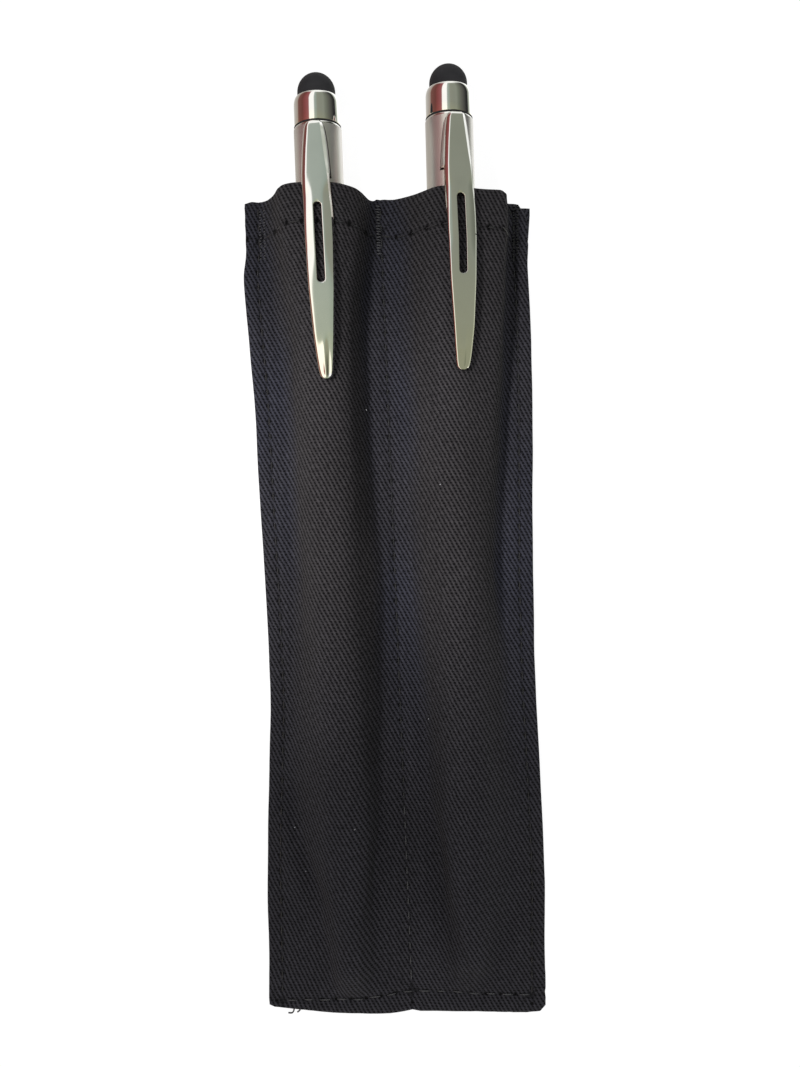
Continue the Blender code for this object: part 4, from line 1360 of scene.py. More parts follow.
@dataclass
class LooseEnds:
    """Two short thread ends that stand out of the bottom seam at its left."""

    finish: Finish
    paths: tuple[tuple[Point, ...], ...] = (
        ((-16.7, -76.2, 0.9), (-16.75, -77.1, 0.9), (-16.9, -77.6, 0.7), (-17.2, -77.95, 0.5), (-17.75, -77.9, 0.4)),
        ((-15.7, -76.3, 0.9), (-15.75, -77.1, 0.8), (-15.9, -77.5, 0.6), (-16.25, -77.75, 0.45)),
    )

    def build(self) -> list[Piece]:
        """The thread ends, each a bevelled curve made a mesh."""
        made = []
        for index, path in enumerate(self.paths):
            curve = bpy.data.curves.new(f"loose_end_{index + 1}", "CURVE")
            curve.dimensions = "3D"
            curve.bevel_depth = 0.13 * MM
            curve.bevel_resolution = 2
            curve.use_fill_caps = True
            spline = curve.splines.new("NURBS")
            spline.points.add(len(path) - 1)
            for point, place in zip(spline.points, path):
                point.co = (*(value * MM for value in place), 1.0)
            spline.use_endpoint_u = True
            spline.order_u = 3
            Bench.take(Bench.linked(curve.name, curve))
            bpy.ops.object.convert(target="MESH")
            piece = bpy.context.object
            piece.data.materials.clear()
            piece.data.materials.append(self.finish)
            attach(piece, "pouch")
            made.append(piece)
        return made


@dataclass
class Pouch:
    """The whole pouch: two cloths, their seams, the bar tacks and the loose ends."""

    finishes: Finishes
    front: FrontPanel = field(default_factory=FrontPanel)
    back: BackPanel = field(default_factory=BackPanel)
    rows_top: float = 55.0
    side_length: float = 130.0
    dark_length: float = 98.0
    pale_length: float = 31.0
    bottom_start: float = -18.4
    bottom_length: float = 41.0
    bottom_pitch: float = 2.72
    hem_start: float = -22.0
    hem_length: float = 41.5
    lint: tuple[Point, ...] = (
        (7.1, 8.9, 0.4), (5.4, -28.9, 1.2), (-4.95, 21.2, 2.2), (-14.7, -53.9, 0.2), (-6.5, -45.3, 1.0),
        (-16.5, -46.8, 0.7),
    )

    def side_row(self, side: Side) -> Route:
        """The path of a row beside an edge, from the mouth down."""
        front = self.front
        stations, inward = {
            Side.LEFT: (front.left_edge, front.row_inset),
            Side.RIGHT: (front.right_edge, -front.row_inset),
        }[side]

        def path(distance: float) -> tuple[float, float]:
            """The place at this distance from the mouth."""
            y = self.rows_top - distance
            return at_station(y, stations) + inward, y

        return path

    def hem_row(self, distance: float) -> tuple[float, float]:
        """The place on the hem's row at this distance from its left end."""
        x = self.hem_start + distance
        return x, at_station(x, self.front.mouth_edge) - self.front.hem_row

    def bottom_row(self, distance: float) -> tuple[float, float]:
        """The place on the bottom's row at this distance from its left end."""
        x = self.bottom_start + distance
        return x, at_station(x, self.front.bottom_seam)

    def centre_row(self, distance: float) -> tuple[float, float]:
        """The place on the centre seam at this distance from the mouth."""
        y = self.rows_top - distance
        return self.front.seam(y), y

    def centre_row_end(self, distance: float) -> tuple[float, float]:
        """The place on the centre seam at this distance from where its thread turns paler."""
        return self.centre_row(distance + self.dark_length)

    def build(self) -> None:
        """Makes every piece of the pouch and reports it."""
        front, upper = self.front.build(self.finishes.twill)
        LOG.info("front cloth: %d faces", len(front.data.polygons))
        back, lower = self.back.build(self.front, self.finishes.twill)
        LOG.info("back cloth: %d faces", len(back.data.polygons))
        above, below = Ground(upper), Ground(lower, -1.0)
        sewing = Stitching(self.finishes)
        for face, ground in (("front", above), ("back", below)):
            pitch = self.front.pitch
            sewing.row(f"{face}_centre_row", ground, self.centre_row, self.dark_length, pitch)
            sewing.row(f"{face}_centre_row_end", ground, self.centre_row_end, self.pale_length, pitch, paler=True)
            for side in Side:
                sewing.row(f"{face}_{side.value}_row", ground, self.side_row(side), self.side_length, pitch)
            length, pitch = self.bottom_length, self.bottom_pitch
            sewing.row(f"{face}_bottom_row", ground, self.bottom_row, length, pitch, paler=True)
            sewing.row(f"{face}_hem_row", ground, self.hem_row, self.hem_length, self.front.hem_pitch)
            LOG.info("%s rows sewn", face)
        pale, dark = self.finishes.tack_thread, self.finishes.thread
        plans = {
            "left": Tack(-21.95, 0.02, pale, (-0.36, 0.36), width=0.36, top=54.2, count=17, proud=0.28),
            "centre": Tack(-3.06, 0.03, pale),
            "right": Tack(19.6, 0.0, dark, (-0.3, 0.3), width=0.5, top=55.0, count=17, proud=0.5),
        }
        for side, plan in plans.items():
            sewing.tack(f"{side}_tack", f"bar_tack_{side}", above, plan)
        self.lay_lint(Ground(upper, sloped=True))
        LOG.info("bar tacks sewn")
        for piece in LooseEnds(self.finishes.tack_thread).build():
            LOG.info("%s laid", piece.name)

    def lay_lint(self, ground: Ground) -> None:
        """Lays the few specks of lint that catch the light."""
        stitches = [(x, y, turn, 0.26, 0.15) for x, y, turn in self.lint]
        made = Stitching(self.finishes).sewn("lint_specks", ground, stitches, self.finishes.lint, 1.0)
        LOG.info("%s laid", made.name)


# ---------------------------------------------------------------- pens


@dataclass(frozen=True)
class Lay:
    """How a pen lies in its pocket."""

    nose: Point
    lean_deg: float
    roll_deg: float

    def place(self) -> Matrix:
        """The turn and shift that lay an upright pen in its pocket."""
        lean, roll = math.radians(self.lean_deg), math.radians(self.roll_deg)
        along = Vector((-math.sin(lean), math.cos(lean), 0))
        across = Vector((math.cos(lean), math.sin(lean), 0))
        outward = math.cos(roll) * Vector((0, 0, 1)) + math.sin(roll) * across
        turn = Matrix((outward, along.cross(outward), along)).transposed().to_4x4()
        return Matrix.Translation(Vector(self.nose) * MM) @ turn


@dataclass
class Clip:
    """The stamped clip: a crowned face between two flanges, rooted in the barrel and slit by a window.

    Heights run up the pen from its nose, falls run down from the clip's top, and out is the distance from
    the pen's axis, all in millimetres. A span has its start, the length over which it grows, its end and
    the length over which it fades. The two crown flats and edge radii are for the upper and the lower
    part, and the crown's radii for the upper part, the middle and the lower part.
    """

    top: float = 130.5
    tip: float = 90.0
    root_foot: float = 121.9
    face: float = 5.8
    wall: float = 0.5
    deep: Stations = ((0.0, 3.14), (4.0, 3.14), (5.2, 2.9), (9.0, 2.9))
    brow: tuple[float, float] = (0.95, 1.9)
    window_top: float = 117.4
    window_foot: float = 104.9
    window_half: float = 0.61
    window_rim: float = 0.09
    face_raise: float = 0.12
    tip_dip: float = 0.4
    dip_length: float = 3.2
    narrow_to: tuple[float, float] = (11.0, 6.0)
    bend_span: tuple[float, float, float, float] = (7.0, 5.0, 20.0, 7.0)
    share_span: tuple[float, float] = (10.5, 9.0)
    mark_span: tuple[float, float, float, float] = (33.4, 5.6, 39.8, 0.6)
    # where the painted shade along the clip's right edge lies, and how it fades down the clip
    edge_shade_span: tuple[float, float] = (9.0, 4.0)
    edge_shade_band: tuple[float, float] = (0.16, 0.12)
    bow_from: tuple[float, float] = (3.4, 1.4)
    half_widths: Stations = (
        (0.0, 0.12), (0.05, 0.5), (0.23, 0.96), (0.65, 1.36), (1.4, 1.66), (2.8, 1.86), (4.7, 2.05), (8.5, 2.3),
        (13.5, 2.4), (19.3, 2.31), (26.5, 2.08), (33.7, 1.66), (37.3, 1.36), (39.1, 1.16), (39.8, 1.04),
        (40.2, 0.88), (40.42, 0.64), (40.5, 0.4),
    )
    root_falls: tuple[float, ...] = (0.0, 0.05, 0.12, 0.23, 0.4, 0.65, 1.0, 1.4, 2.0, 2.8, 3.7, 4.7, 6.0, 7.2)
    crown_flat: tuple[float, float] = (1.0, 0.55)
    crown_radius: tuple[float, float, float] = (32.0, 5.6, 14.0)
    edge_radius: tuple[float, float] = (0.8, 0.34)
    bevels: Stations = (
        (0.0, 0.0), (0.5, 0.4), (1.5, 0.56), (4.0, 0.6), (6.5, 0.52), (9.5, 0.34), (13.0, 0.24), (40.5, 0.2),
    )
    mark_depths: Stations = (
        (-1.0, 0.62), (-0.6, 0.5), (-0.3, 0.28), (-0.05, 0.0), (0.08, 0.05), (0.34, 1.0), (0.7, 0.85), (1.0, 0.8),
    )
    bevel_steep: tuple[float, ...] = (1.72,) * 8
    rolled: float = 0.66
    rolled_steep: tuple[float, ...] = (0.42, 0.55, 0.65, 0.75, 0.87, 1.02, 1.35, 1.65)
    narrow: float = 0.2

    def half_width(self, fall: float) -> float:
        """Half the clip's width this far below its top."""
        return at_station(fall, self.half_widths)

    def face_out(self, fall: float) -> float:
        """How far out the face's middle stands this far below the top."""
        along, drop = self.brow
        round_over = max(0.0, 1 - fall / along)
        out = self.face - drop + drop * math.sqrt(max(0.0, 1 - round_over**2)) + self.face_raise
        dip = max(0.0, (fall - (self.top - self.tip) + self.dip_length) / self.dip_length)
        return out - self.tip_dip * dip**2.2

    def right_half(self, fall: float) -> float:
        """Half the clip's width on its bevelled side."""
        start, length = self.narrow_to
        return self.half_width(fall) - self.narrow * min(1.0, fall / 1.4) * (1 - ease((fall - start) / length))

    def bevel(self, fall: float) -> float:
        """How wide the bevel along the clip's right edge is seen this far below its top."""
        return min(at_station(fall, self.bevels), self.half_width(fall) * 0.45)

    def section(self, fall: float, inset: float, bevelled: bool = False) -> list[tuple[float, float]]:
        """Half the section of one skin, from its middle to the flange's foot.

        Args:
            fall: How far below the top the section is.
            inset: How far inside the outer skin this one lies.
            bevelled: Whether this half has the bevelled edge.

        Returns:
            Points of (out, across).
        """
        half = max(0.1, (self.right_half(fall) if bevelled else self.half_width(fall)) - inset * 0.8)
        bowed = spanned(fall, self.bend_span)
        share = ease((fall - self.share_span[0]) / self.share_span[1])
        high, middle, low_down = self.crown_radius
        flat = self.crown_flat[0] + (self.crown_flat[1] - self.crown_flat[0]) * bowed
        bend = (high + (low_down - high) * share) * (1 - bowed) + middle * bowed
        edge = self.edge_radius[0] + (self.edge_radius[1] - self.edge_radius[0]) * share
        edge = min(max(0.1, edge - inset * 0.6), half * 0.62)
        out = self.face_out(fall) - inset
        ledge = half - edge
        flat = min(flat, ledge * 0.6)
        drop = lambda across: max(0.0, across - flat) ** 2 / (2 * bend)
        slope = max(0.0, ledge - flat) / bend
        points = [(out - drop(ledge * k / 7), ledge * k / 7) for k in range(8)]
        low, far = points[-1][0] - edge * math.cos(slope), points[-1][1] - edge * math.sin(slope)
        for turn in np.linspace(math.pi / 2 - slope, 0.08, 9)[1:]:
            points.append((low + edge * math.sin(turn), far + edge * math.cos(turn)))
        keep = 0.0 if bevelled else ease((fall - 10.0) / 5.0)
        wide = self.bevel(fall) if bevelled else min(self.rolled, self.half_width(fall) * 0.35)
        inner = half - min(wide, half * 0.5)
        sloped = [(out - drop(inner * k / 7), inner * k / 7) for k in range(8)]
        for steep in self.bevel_steep if bevelled else self.rolled_steep:
            sloped.append((sloped[-1][0] - steep * wide / 8, sloped[-1][1] + wide / 8))
        points = [tuple(q + (p - q) * keep for p, q in zip(a, b)) for a, b in zip(points, sloped, strict=True)]
        last = points[-1]
        foot = self.face_out(fall) - self.wall - self.face_raise
        if self.top - fall > self.root_foot:
            foot = min(at_station(fall, self.deep), foot)
        foot = min(foot, last[0] - 0.04)
        return points + [(last[0] + (foot - last[0]) * k / 3, last[1] + 0.01 * k) for k in range(1, 4)]

    def falls(self) -> list[float]:
        """How far below the top each row of the skins lies."""
        root = self.top - self.root_foot
        near_top = [0.0, 0.02, *self.root_falls[1:], root - 0.03, root + 0.03]
        middle = list(np.linspace(9.2, 36.5, 42))
        near_tip = [37.3, 37.8, 38.3, 38.7, 39.1, 39.5, 39.9, 40.1, 40.3, 40.42, 40.5]
        return near_top + middle + near_tip

    def skin(self, inset: float) -> list[list[Point]]:
        """All rows of one skin, each from flange to flange."""
        rows = []
        for fall in self.falls():
            across = [(out, -side) for out, side in self.section(fall, inset)[:0:-1]]
            across += self.section(fall, inset, bevelled=True)
            down = inset * 0.6 * (ease((1.2 - fall) / 1.2) - ease((fall - 39.3) / 1.2))
            rows.append([(out, side, self.top - fall - down) for out, side in across])
        return rows

    def mark(self, fall: float, side: float) -> float:
        """How far the mark pressed into the tip goes in at this place, as a share of its depth."""
        return spanned(fall, self.mark_span) * at_station(side / max(0.4, self.half_width(fall)), self.mark_depths)

    def finished(self, piece: Piece, bow: Stations, deep: float, easing: float) -> None:
        """Gives a laid-out copy of the clip its own sideways bow, bevel and mark pressed into its tip, and marks the
        band along its right edge near the top where its finish paints shade.

        Args:
            piece: The copy.
            bow: How far its face moves sideways at each fall, in millimetres.
            deep: How deep the mark is, in millimetres.
            easing: How much less steep its bevel is.
        """
        Bench.edit(piece)
        mesh = bmesh.from_edit_mesh(piece.data)
        edge = mesh.verts.layers.float.new("edge")
        for vertex in mesh.verts:
            out, side, fall = vertex.co.x / MM, vertex.co.y / MM, self.top - vertex.co.z / MM
            half, wide = self.right_half(fall), self.bevel(fall)
            shown = 1 - ease((fall - self.edge_shade_span[0]) / self.edge_shade_span[1])
            # painted shade: the edge attribute darkens the right edge near the top, for the shadow in the gap beside
            # the barrel
            vertex[edge] = ease((side - half + self.edge_shade_band[0]) / self.edge_shade_band[1]) * shown
            lift = max(0.0, min(side, half) - half + wide) * easing
            vertex.co.x += (lift - deep * self.mark(fall, side)) * MM
            outer = min(1.0, max(0.0, (out - self.bow_from[0]) / self.bow_from[1]))
            vertex.co.y += at_station(fall, bow) * outer * MM
        bmesh.update_edit_mesh(piece.data)
        Bench.done()

    def build(self) -> Piece:
        """Models the clip upright: a grid shaped row by row, doubled inwards and joined along its rim."""
        outer, inner = self.skin(0.0), self.skin(self.wall)
        Bench.clear()
        bpy.ops.mesh.primitive_grid_add(x_subdivisions=len(outer[0]) - 1, y_subdivisions=len(outer) - 1, size=1)
        piece = bpy.context.object
        piece.name = piece.data.name = "clip"
        Bench.edit(piece)
        self.shape(outer)
        Bench.everything()
        bpy.ops.mesh.duplicate()
        self.shape(inner)
        Bench.everything()
        bpy.ops.mesh.select_mode(type="EDGE")
        bpy.ops.mesh.region_to_loop()
        bpy.ops.mesh.bridge_edge_loops()
        Bench.outward()
        Bench.done()
        Bench.cut(piece, self.window())
        self.round_window(piece)
        Bench.smooth(piece, 38.0)
        return piece

    def round_window(self, piece: Piece) -> None:
        """Rounds the window's outer rim a little."""
        Bench.edit(piece)
        bpy.ops.mesh.select_mode(type="EDGE")
        mesh = bmesh.from_edit_mesh(piece.data)
        for edge in mesh.edges:
            angle = edge.calc_face_angle(0.0)
            ends = [vertex.co / MM for vertex in edge.verts]
            inside = all(
                abs(end.y) < self.window_half + 0.02
                and self.window_foot - 0.02 < end.z < self.window_top + 0.02
                and end.x > self.face_out(self.top - end.z) - 0.2
                for end in ends
            )
            edge.select_set(inside and angle > 1.0)
        bmesh.update_edit_mesh(piece.data)
        bpy.ops.mesh.bevel(offset=self.window_rim * MM, segments=3, affect="EDGES")
        Bench.done()

    @staticmethod
    def shape(rows: list[list[Point]]) -> None:
        """Moves the selected points, or all where none are, from their flat grid to a skin's rows."""
        mesh = bmesh.from_edit_mesh(bpy.context.object.data)
        chosen = [vertex for vertex in mesh.verts if vertex.select] or list(mesh.verts)
        if len(chosen) == len(mesh.verts):
            chosen.sort(key=lambda vertex: (-round(vertex.co.y, 5), round(vertex.co.x, 5)))
        for vertex, place in zip(chosen, (point for row in rows for point in row)):
            vertex.co = Vector(place) * MM
        bmesh.update_edit_mesh(bpy.context.object.data)

    def window(self) -> Piece:
        """The cutter for the window: a block with rounded ends."""
        length = self.window_top - self.window_foot
        middle = (self.window_top + self.window_foot) / 2
        Bench.clear()
        size = (4 * MM, 2 * self.window_half * MM, length * MM)
        bpy.ops.mesh.primitive_cube_add(size=1, location=(self.face * MM, 0, middle * MM), scale=size)
        block = bpy.context.object
        bpy.ops.object.transform_apply(location=True, rotation=True, scale=True)
        Bench.edit(block)
        bpy.ops.mesh.select_mode(type="EDGE")
        mesh = bmesh.from_edit_mesh(block.data)
        for edge in mesh.edges:
            ends = [vertex.co for vertex in edge.verts]
            edge.select_set(abs(ends[0].x - ends[1].x) > MM)
        bmesh.update_edit_mesh(block.data)
        bpy.ops.mesh.bevel(offset=self.window_half * 0.98 * MM, segments=10, affect="EDGES")
        Bench.done()
        return block


@dataclass
class Pen:
    """One stylus pen, modelled upright and laid in each pocket."""

    finishes: Finishes
    lays: dict[Side, Lay] = field(
        default_factory=lambda: {
            Side.LEFT: Lay((-7.56, -64.647, 4.8), lean_deg=2.2, roll_deg=-1.0),
            Side.RIGHT: Lay((11.8, -63.306, 4.8), lean_deg=1.43, roll_deg=10.0),
        }
    )
    bows: dict[Side, Stations] = field(
        default_factory=lambda: {
            Side.LEFT: (
                (0.0, -0.05), (6.0, -0.1), (12.0, -0.09), (19.5, 0.04), (26.7, 0.13), (33.0, 0.2), (40.0, 0.33),
            ),
            Side.RIGHT: ((0.0, -0.05), (6.0, 0.05), (13.5, 0.2), (20.0, 0.36), (27.0, 0.32), (33.5, 0.26), (40.0, 0.0)),
        }
    )
    marks: dict[Side, float] = field(default_factory=lambda: {Side.LEFT: 0.34, Side.RIGHT: 0.07})
    easings: dict[Side, float] = field(default_factory=lambda: {Side.LEFT: 0.0, Side.RIGHT: 0.67})
    length: float = 140.0
    dome: float = 3.05
    dome_skirt: float = 3.6
    collar_foot: float = 131.15
    collar_top: float = 135.9
    collar: float = 3.7
    shoulder: float = 0.56
    shoulder_height: float = 1.45
    spigot: float = 3.05
    spigot_bore: float = 2.6
    spigot_length: float = 4.4
    joint_bore: float = 3.1
    barrel: float = 3.85
    bore: float = 3.35
    barrel_top: float = 130.95
    ring_foot: float = 66.6
    ring_length: float = 2.4
    ring: float = 3.95
    halves_gap: float = 0.3
    cone_wide: float = 3.75
    cone_spigot: float = 6.0
    ring_spigot: float = 3.5
    tube_edge: float = 0.1
    ring_edge: float = 0.2
    sides: int = 112
    cone: float = 20.0
    slot_foot: float = 121.74
    slot_gap: float = 0.06
    rim: float = 0.4

    def tip(self) -> Piece:
        """The rubber dome with its skirt."""
        centre = self.length - self.dome - 0.2
        outer = rounding(0, centre, self.dome, 90, 0, 20)
        inner = rounding(0, centre, self.dome - 0.6, 0, 90, 10)
        foot = centre - self.dome_skirt
        return turned("tip", outer + [(self.dome, foot), (self.dome - 0.6, foot)] + inner)

    def collar_piece(self) -> Piece:
        """The polished collar: a drawn shoulder under the dome, a straight wall and a fine edge at the joint."""
        rise = np.radians(np.linspace(90, 0, 15))
        high = self.shoulder_height
        lip = [(self.dome + 0.06, self.collar_top - 0.1)]
        lip += [
            (self.collar - self.shoulder + self.shoulder * math.cos(a), self.collar_top - high + high * math.sin(a))
            for a in rise
        ]
        foot = rounding(self.collar - 0.14, self.collar_foot + 0.14, 0.14, 0, -90, 4)
        profile = [(0, self.collar_foot + 1.3), (self.dome + 0.06, self.collar_foot + 1.3)]
        profile += lip + foot
        end = self.collar_foot - self.spigot_length
        profile += [(self.spigot, self.collar_foot), (self.spigot, self.collar_foot - 0.6)]
        profile += [(self.spigot_bore, self.collar_foot - 0.6), (self.spigot_bore, end), (0, end)]
        return turned("collar", profile, self.sides)

    def joint_ring(self) -> Piece:
        """The thin black washer between the collar and the barrel."""
        foot, top = self.barrel_top + 0.01, self.collar_foot - 0.01
        edge = self.barrel - 0.08
        profile = [(self.joint_bore, foot), (edge - 0.05, foot), (edge, foot + 0.06)]
        profile += [(edge, top - 0.06), (edge - 0.05, top), (self.joint_bore, top)]
        return turned("joint_ring", profile, self.sides)

    def bright_rim(self) -> Piece:
        """The barrel's bevelled end, turned bright."""
        foot, top = self.barrel_top - self.rim, self.barrel_top
        steps = [(0.0, 0.0), (0.3, 0.25), (0.6, 0.5), (0.82, 0.75), (1.0, 1.0)]
        bevel = [(self.barrel - 0.17 * (1 - out), top - self.rim * down) for out, down in steps]
        profile = [(self.joint_bore, top), *bevel, (self.joint_bore, foot)]
        return turned("bright_rim", profile, self.sides)

    def upper_tube(self) -> Piece:
        """The barrel's upper tube with the arched slot for the clip's root."""
        foot = self.ring_foot + self.ring_length + self.halves_gap
        top = self.barrel_top - self.rim - 0.004
        profile = [(self.barrel - 0.01, top), (self.barrel, top - 0.01)]
        profile += rounding(self.barrel - self.tube_edge, foot + self.tube_edge, self.tube_edge, 0, -90, 3)
        profile += [(self.bore, foot), (self.bore, top)]
        tube = turned("upper_tube", profile, self.sides)
        Bench.cut(tube, self.slot_block())
        Bench.smooth(tube)
        return tube

    def slot_block(self) -> Piece:
        """The cutter for the clip's slot: the clip's own outline a hair wider, with a square foot."""
        clip = Clip()
        falls = [*clip.root_falls, clip.top - self.slot_foot]
        raised = [clip.top - fall + self.slot_gap * (fall < 1) for fall in falls]
        outline = [(-clip.half_width(fall) - self.slot_gap, height) for fall, height in zip(falls[::-1], raised[::-1])]
        outline += [(clip.right_half(fall) + self.slot_gap, height) for fall, height in zip(falls, raised)]
        block = Bench.drawn([(2.2, across, height) for across, height in outline])
        Bench.everything()
        bpy.ops.mesh.edge_face_add()
        bpy.ops.mesh.extrude_region_move(TRANSFORM_OT_translate={"value": (4 * MM, 0, 0)})
        Bench.outward()
        Bench.done()
        return block

    def middle_ring(self) -> Piece:
        """The polished ring between the barrel's halves."""
        top = self.ring_foot + self.ring_length
        end, edge = top + self.ring_spigot, self.ring_edge
        profile = [(self.spigot, end), (self.spigot, top)]
        profile += rounding(self.ring - edge, top - edge, edge, 90, 0, 5)
        profile += rounding(self.ring - edge, self.ring_foot + edge, edge, 0, -90, 5)
        profile += [(2.7, self.ring_foot), (2.7, end)]
        return turned("middle_ring", profile)

    def lower_tube(self) -> Piece:
        """The barrel's lower tube."""
        top, foot = self.ring_foot - self.halves_gap, self.cone + self.halves_gap
        edge = self.tube_edge
        profile = rounding(self.barrel - edge, top - edge, edge, 90, 0, 3)
        profile += rounding(self.cone_wide - edge, foot + edge, edge, 0, -90, 3)
        profile += [(self.bore, foot), (self.bore, top)]
        return turned("lower_tube", profile)

    def nose(self) -> Piece:
        """The polished nose, full in its curve, with a throat for the point."""
        end = self.cone + self.cone_spigot
        profile = [(self.spigot, end), (self.spigot, self.cone)]
        for share in np.linspace(1, 0, 22):
            profile.append((1.6 + 2.15 * share + 0.25 * math.sin(math.pi * share), 0.3 + (self.cone - 0.3) * share))
        profile += rounding(1.3, 0.3, 0.3, -15, -90, 4)
        profile += [(1.15, 0.0), (1.15, 3.0), (1.8, 3.65), (1.8, end)]
        return turned("nose", profile)

    def point(self) -> Piece:
        """The refill's brass point with its ball."""
        profile = [(0, 15.85), (1.1, 15.85), (1.1, 11.85), (1.5, 11.85), (0.85, 7.2), (0.85, 3.9), (0.4, 2.6)]
        profile += rounding(0, 2.55, 0.35, 0, -90, 5)
        return turned("point", profile, 48)

    def build(self) -> None:
        """Makes both pens and reports their pieces."""
        clip = Clip().build()
        plans = (
            (self.tip(), "stylus_tip", "pen", self.finishes.rubber, "stylus_rubber"),
            (self.collar_piece(), "stylus_collar", "pen", self.finishes.chrome, "bright_chrome"),
            (self.joint_ring(), "joint_ring", "pen", self.finishes.rubber, "stylus_rubber"),
            (self.bright_rim(), "barrel_rim", "pen", self.finishes.chrome, "bright_chrome"),
            (self.upper_tube(), "upper_barrel", "pen", self.finishes.satin, "satin_metal"),
            (self.middle_ring(), "centre_ring", "pen", self.finishes.chrome, "bright_chrome"),
            (clip, "clip", "clip", self.finishes.stamped, "bright_chrome"),
            (self.lower_tube(), "lower_barrel", "lower_half", self.finishes.satin, "satin_metal"),
            (self.nose(), "nose_cone", "lower_half", self.finishes.chrome, "bright_chrome"),
            (self.point(), "refill_point", "refill", self.finishes.brass, "brass"),
        )
        for side in Side:
            place = self.lays[side].place()
            for model, node, body, finish, slot in plans:
                piece = Bench.twin(model, f"{side.value}_{node}")
                piece.data.materials.clear()
                piece.data.materials.append(finish)
                if node == "clip":
                    Clip().finished(piece, self.bows[side], self.marks[side], self.easings[side])
                Bench.lay(piece, place)
                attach(piece, f"{body}_{side.value}")
                if node not in ("joint_ring", "barrel_rim"):
                    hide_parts(f"{node}_{side.value}")
                LOG.info("%s laid", piece.name)
        for model, *_ in plans:
            bpy.data.objects.remove(model)
        self.dress()

    def dress(self) -> None:
        """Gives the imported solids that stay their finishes."""
        kept = {
            "tip_core": self.finishes.plastic,
            "cam_sleeve": self.finishes.brass,
            "drive_tube": self.finishes.brass,
            "cam_follower": self.finishes.plastic,
            "refill_tube": self.finishes.satin,
        }
        for side in Side:
            for node, finish in kept.items():
                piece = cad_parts[f"{node}_{side.value}"]
                for slot in piece.material_slots:
                    slot.material = finish
                LOG.info("%s dressed", piece.name)


# ---------------------------------------------------------------- studio


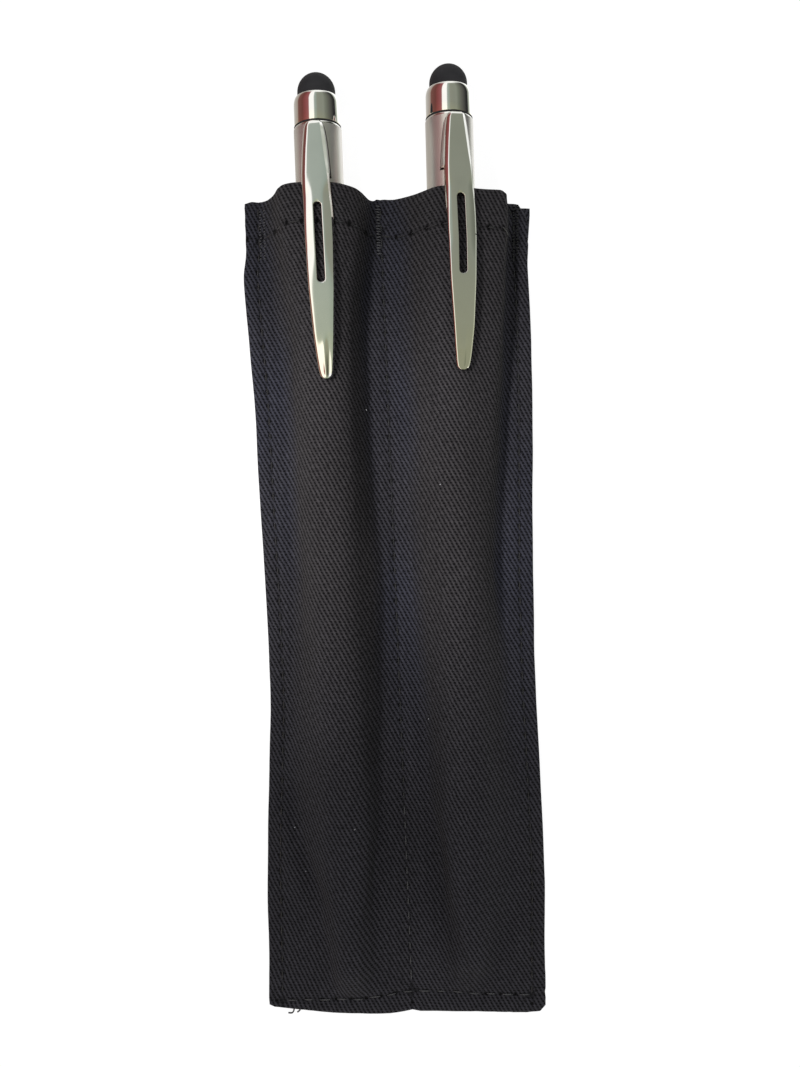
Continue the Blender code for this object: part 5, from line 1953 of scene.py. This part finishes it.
@dataclass
class Studio:
    """The floor, the surroundings that the metal shows, the lamps and the camera."""

    eye: Point = (0.65, 1.15, 172.0)
    lens: float = 35.09
    surroundings: tuple[tuple[float, tuple[float, float, float]], ...] = (
        (-180.0, (0.95, 0.94, 0.9)),
        (-150.0, (0.6, 0.57, 0.53)),
        (-125.0, (0.47, 0.43, 0.39)),
        (-108.0, (0.41, 0.34, 0.29)),
        (-100.0, (0.2, 0.09, 0.075)),
        (-72.0, (0.165, 0.055, 0.047)),
        (-57.0, (0.26, 0.072, 0.07)),
        (-38.0, (0.34, 0.12, 0.12)),
        (-34.0, (1.15, 1.12, 1.08)),
        (-12.0, (1.15, 1.14, 1.1)),
        (-9.5, (0.42, 0.46, 0.41)),
        (-1.0, (0.33, 0.385, 0.335)),
        (5.0, (0.29, 0.3, 0.24)),
        (24.0, (0.265, 0.28, 0.225)),
        (35.0, (0.27, 0.285, 0.23)),
        (45.0, (0.2, 0.215, 0.17)),
        (57.0, (0.15, 0.155, 0.125)),
        (70.0, (0.105, 0.105, 0.09)),
        (81.0, (0.07, 0.07, 0.063)),
        (92.0, (0.03, 0.03, 0.028)),
        (105.0, (0.024, 0.024, 0.024)),
        (108.0, (0.34, 0.365, 0.31)),
        (118.0, (0.48, 0.51, 0.43)),
        (122.0, (1.2, 1.2, 1.18)),
        (155.0, (1.3, 1.3, 1.28)),
        (172.0, (0.95, 0.94, 0.9)),
    )

    def world(self) -> None:
        """A plain pale world for the cloth, and a studio's surfaces for the metal to show."""
        made = bpy.data.worlds.new("studio")
        bpy.context.scene.world = made
        made.use_nodes = True
        sketch = Sketch(made.node_tree)
        made.node_tree.nodes.clear()
        x, y, z = sketch.split(sketch.node("TexCoord").outputs["Generated"])
        turn = sketch.math("ARCTAN2", x, z)
        share = sketch.ranged(turn, 0.0, 1.0, -math.pi, math.pi)
        ramp = sketch.node("ValToRGB")
        sketch.wire(share, ramp.inputs[0])
        stops = ramp.color_ramp.elements
        while len(stops) > 1:
            stops.remove(stops[-1])
        for index, (angle, colour) in enumerate(self.surroundings):
            stop = stops[0] if index == 0 else stops.new((angle + 180) / 360)
            stop.position = (angle + 180) / 360
            stop.color = (*colour, 1)
        path = sketch.node("LightPath")
        beige = sketch.ranged(y, 1.0, 0.0, 0.14, 0.3)
        warmed = sketch.blended(beige, ramp.outputs[0], (0.98, 0.95, 0.8, 1.0), "MULTIPLY")
        off = sketch.ranged(sketch.math("ABSOLUTE", sketch.math("SUBTRACT", x, 0.03)), 1.0, 0.0, 0.14, 0.6)
        glare = sketch.math("MULTIPLY", off, sketch.ranged(y, 0.0, 1.0, 0.84, 0.9))
        bright = sketch.blended(glare, warmed, (1.1, 1.1, 1.06, 1.0))
        shown = sketch.surface("Background", {"Color": bright, "Strength": sketch.ranged(y, 1.18, 1.0, 0.16, 0.28)})
        plain = sketch.surface("Background", {"Color": (0.98, 0.99, 1.02, 1), "Strength": 0.51})
        white = sketch.surface("Background", {"Color": (1, 1, 1, 1)})
        by_metal = sketch.either(path.outputs["Is Glossy Ray"], plain, shown)
        seen = sketch.math("MAXIMUM", path.outputs["Is Camera Ray"], path.outputs["Is Transmission Ray"])
        by_camera = sketch.either(seen, by_metal, white)
        sketch.wire(by_camera, sketch.node("OutputWorld").inputs[0])

    def floor(self) -> None:
        """A wide white floor that shows white to the camera and keeps the object's shadow."""
        Bench.clear()
        bpy.ops.mesh.primitive_plane_add(size=3.0, location=(0, 0, 0))
        made = bpy.context.object
        made.name = "floor"
        sketch, finish, shader = Sketch.of_material("white_floor")
        sketch.fill(shader, {"Base Color": (0.8, 0.8, 0.8, 1), "Roughness": 0.9, "Specular IOR Level": 0.0})
        both = sketch.node("AddShader")
        sketch.wire(sketch.surface("Emission", {"Color": (1, 1, 1, 1), "Strength": 0.9}), both.inputs[0])
        sketch.wire(sketch.surface("BsdfDiffuse", {"Color": (0.24, 0.24, 0.24, 1)}), both.inputs[1])
        path = sketch.node("LightPath")
        seen = sketch.math("MAXIMUM", path.outputs["Is Camera Ray"], path.outputs["Is Glossy Ray"])
        seen = sketch.math("MAXIMUM", seen, path.outputs["Is Transmission Ray"])
        output = next(n for n in sketch.tree.nodes if n.type == "OUTPUT_MATERIAL")
        sketch.wire(sketch.either(seen, shader.outputs[0], both.outputs[0]), output.inputs[0])
        made.data.materials.append(finish)
        made.visible_glossy = False

    def lamp(self, name: str, place: Point, aim: Point, size: float, reach: float, power: float, tint: Point) -> None:
        """A soft lamp whose light fades out from what it points at.

        Args:
            name: The lamp's name.
            place: Where it stands, in millimetres.
            aim: What it points at, in millimetres.
            size: Its radius, in millimetres.
            reach: How far from the aim its light ends, in millimetres.
            power: Its power in watts.
            tint: Its colour.
        """
        light = bpy.data.lights.new(name, "SPOT")
        light.shadow_soft_size = size * MM
        light.spot_size = 2 * math.atan(reach / math.dist(place, aim))
        light.spot_blend = 1.0
        light.energy = power
        light.color = tint
        made = Bench.linked(name, light)
        made.location = Vector(place) * MM
        made.rotation_euler = (Vector(aim) - Vector(place)).to_track_quat("-Z", "Y").to_euler()
        made.visible_glossy = False

    def camera(self) -> None:
        """The camera, straight above the pouch."""
        data = bpy.data.cameras.new("camera")
        data.lens = self.lens
        data.sensor_width = 36.0
        data.clip_start = 0.005
        data.clip_end = 20.0
        made = Bench.linked("camera", data)
        made.location = Vector(self.eye) * MM
        bpy.context.scene.camera = made

    def build(self) -> None:
        """Sets the whole studio."""
        self.world()
        self.floor()
        self.lamp("key", (-150.0, 45.0, 290.0), (-3.0, 13.0, 0.0), 24.0, 55.0, 3.87, (1.0, 0.985, 0.985))
        self.lamp("low_fill", (-40.0, -170.0, 260.0), (2.0, -88.0, 0.0), 40.0, 36.0, 1.04, (1.0, 0.99, 1.0))
        self.camera()
        bpy.context.scene.view_settings.view_transform = "Standard"
        LOG.info("studio set")


def main() -> None:
    """Builds the pouch, the pens and the studio."""
    logging.basicConfig(level=logging.INFO, format="%(name)s: %(message)s")
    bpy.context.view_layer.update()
    finishes = Finishes()
    Pouch(finishes).build()
    Pen(finishes).build()
    Studio().build()


if __name__ == "__main__":
    main()
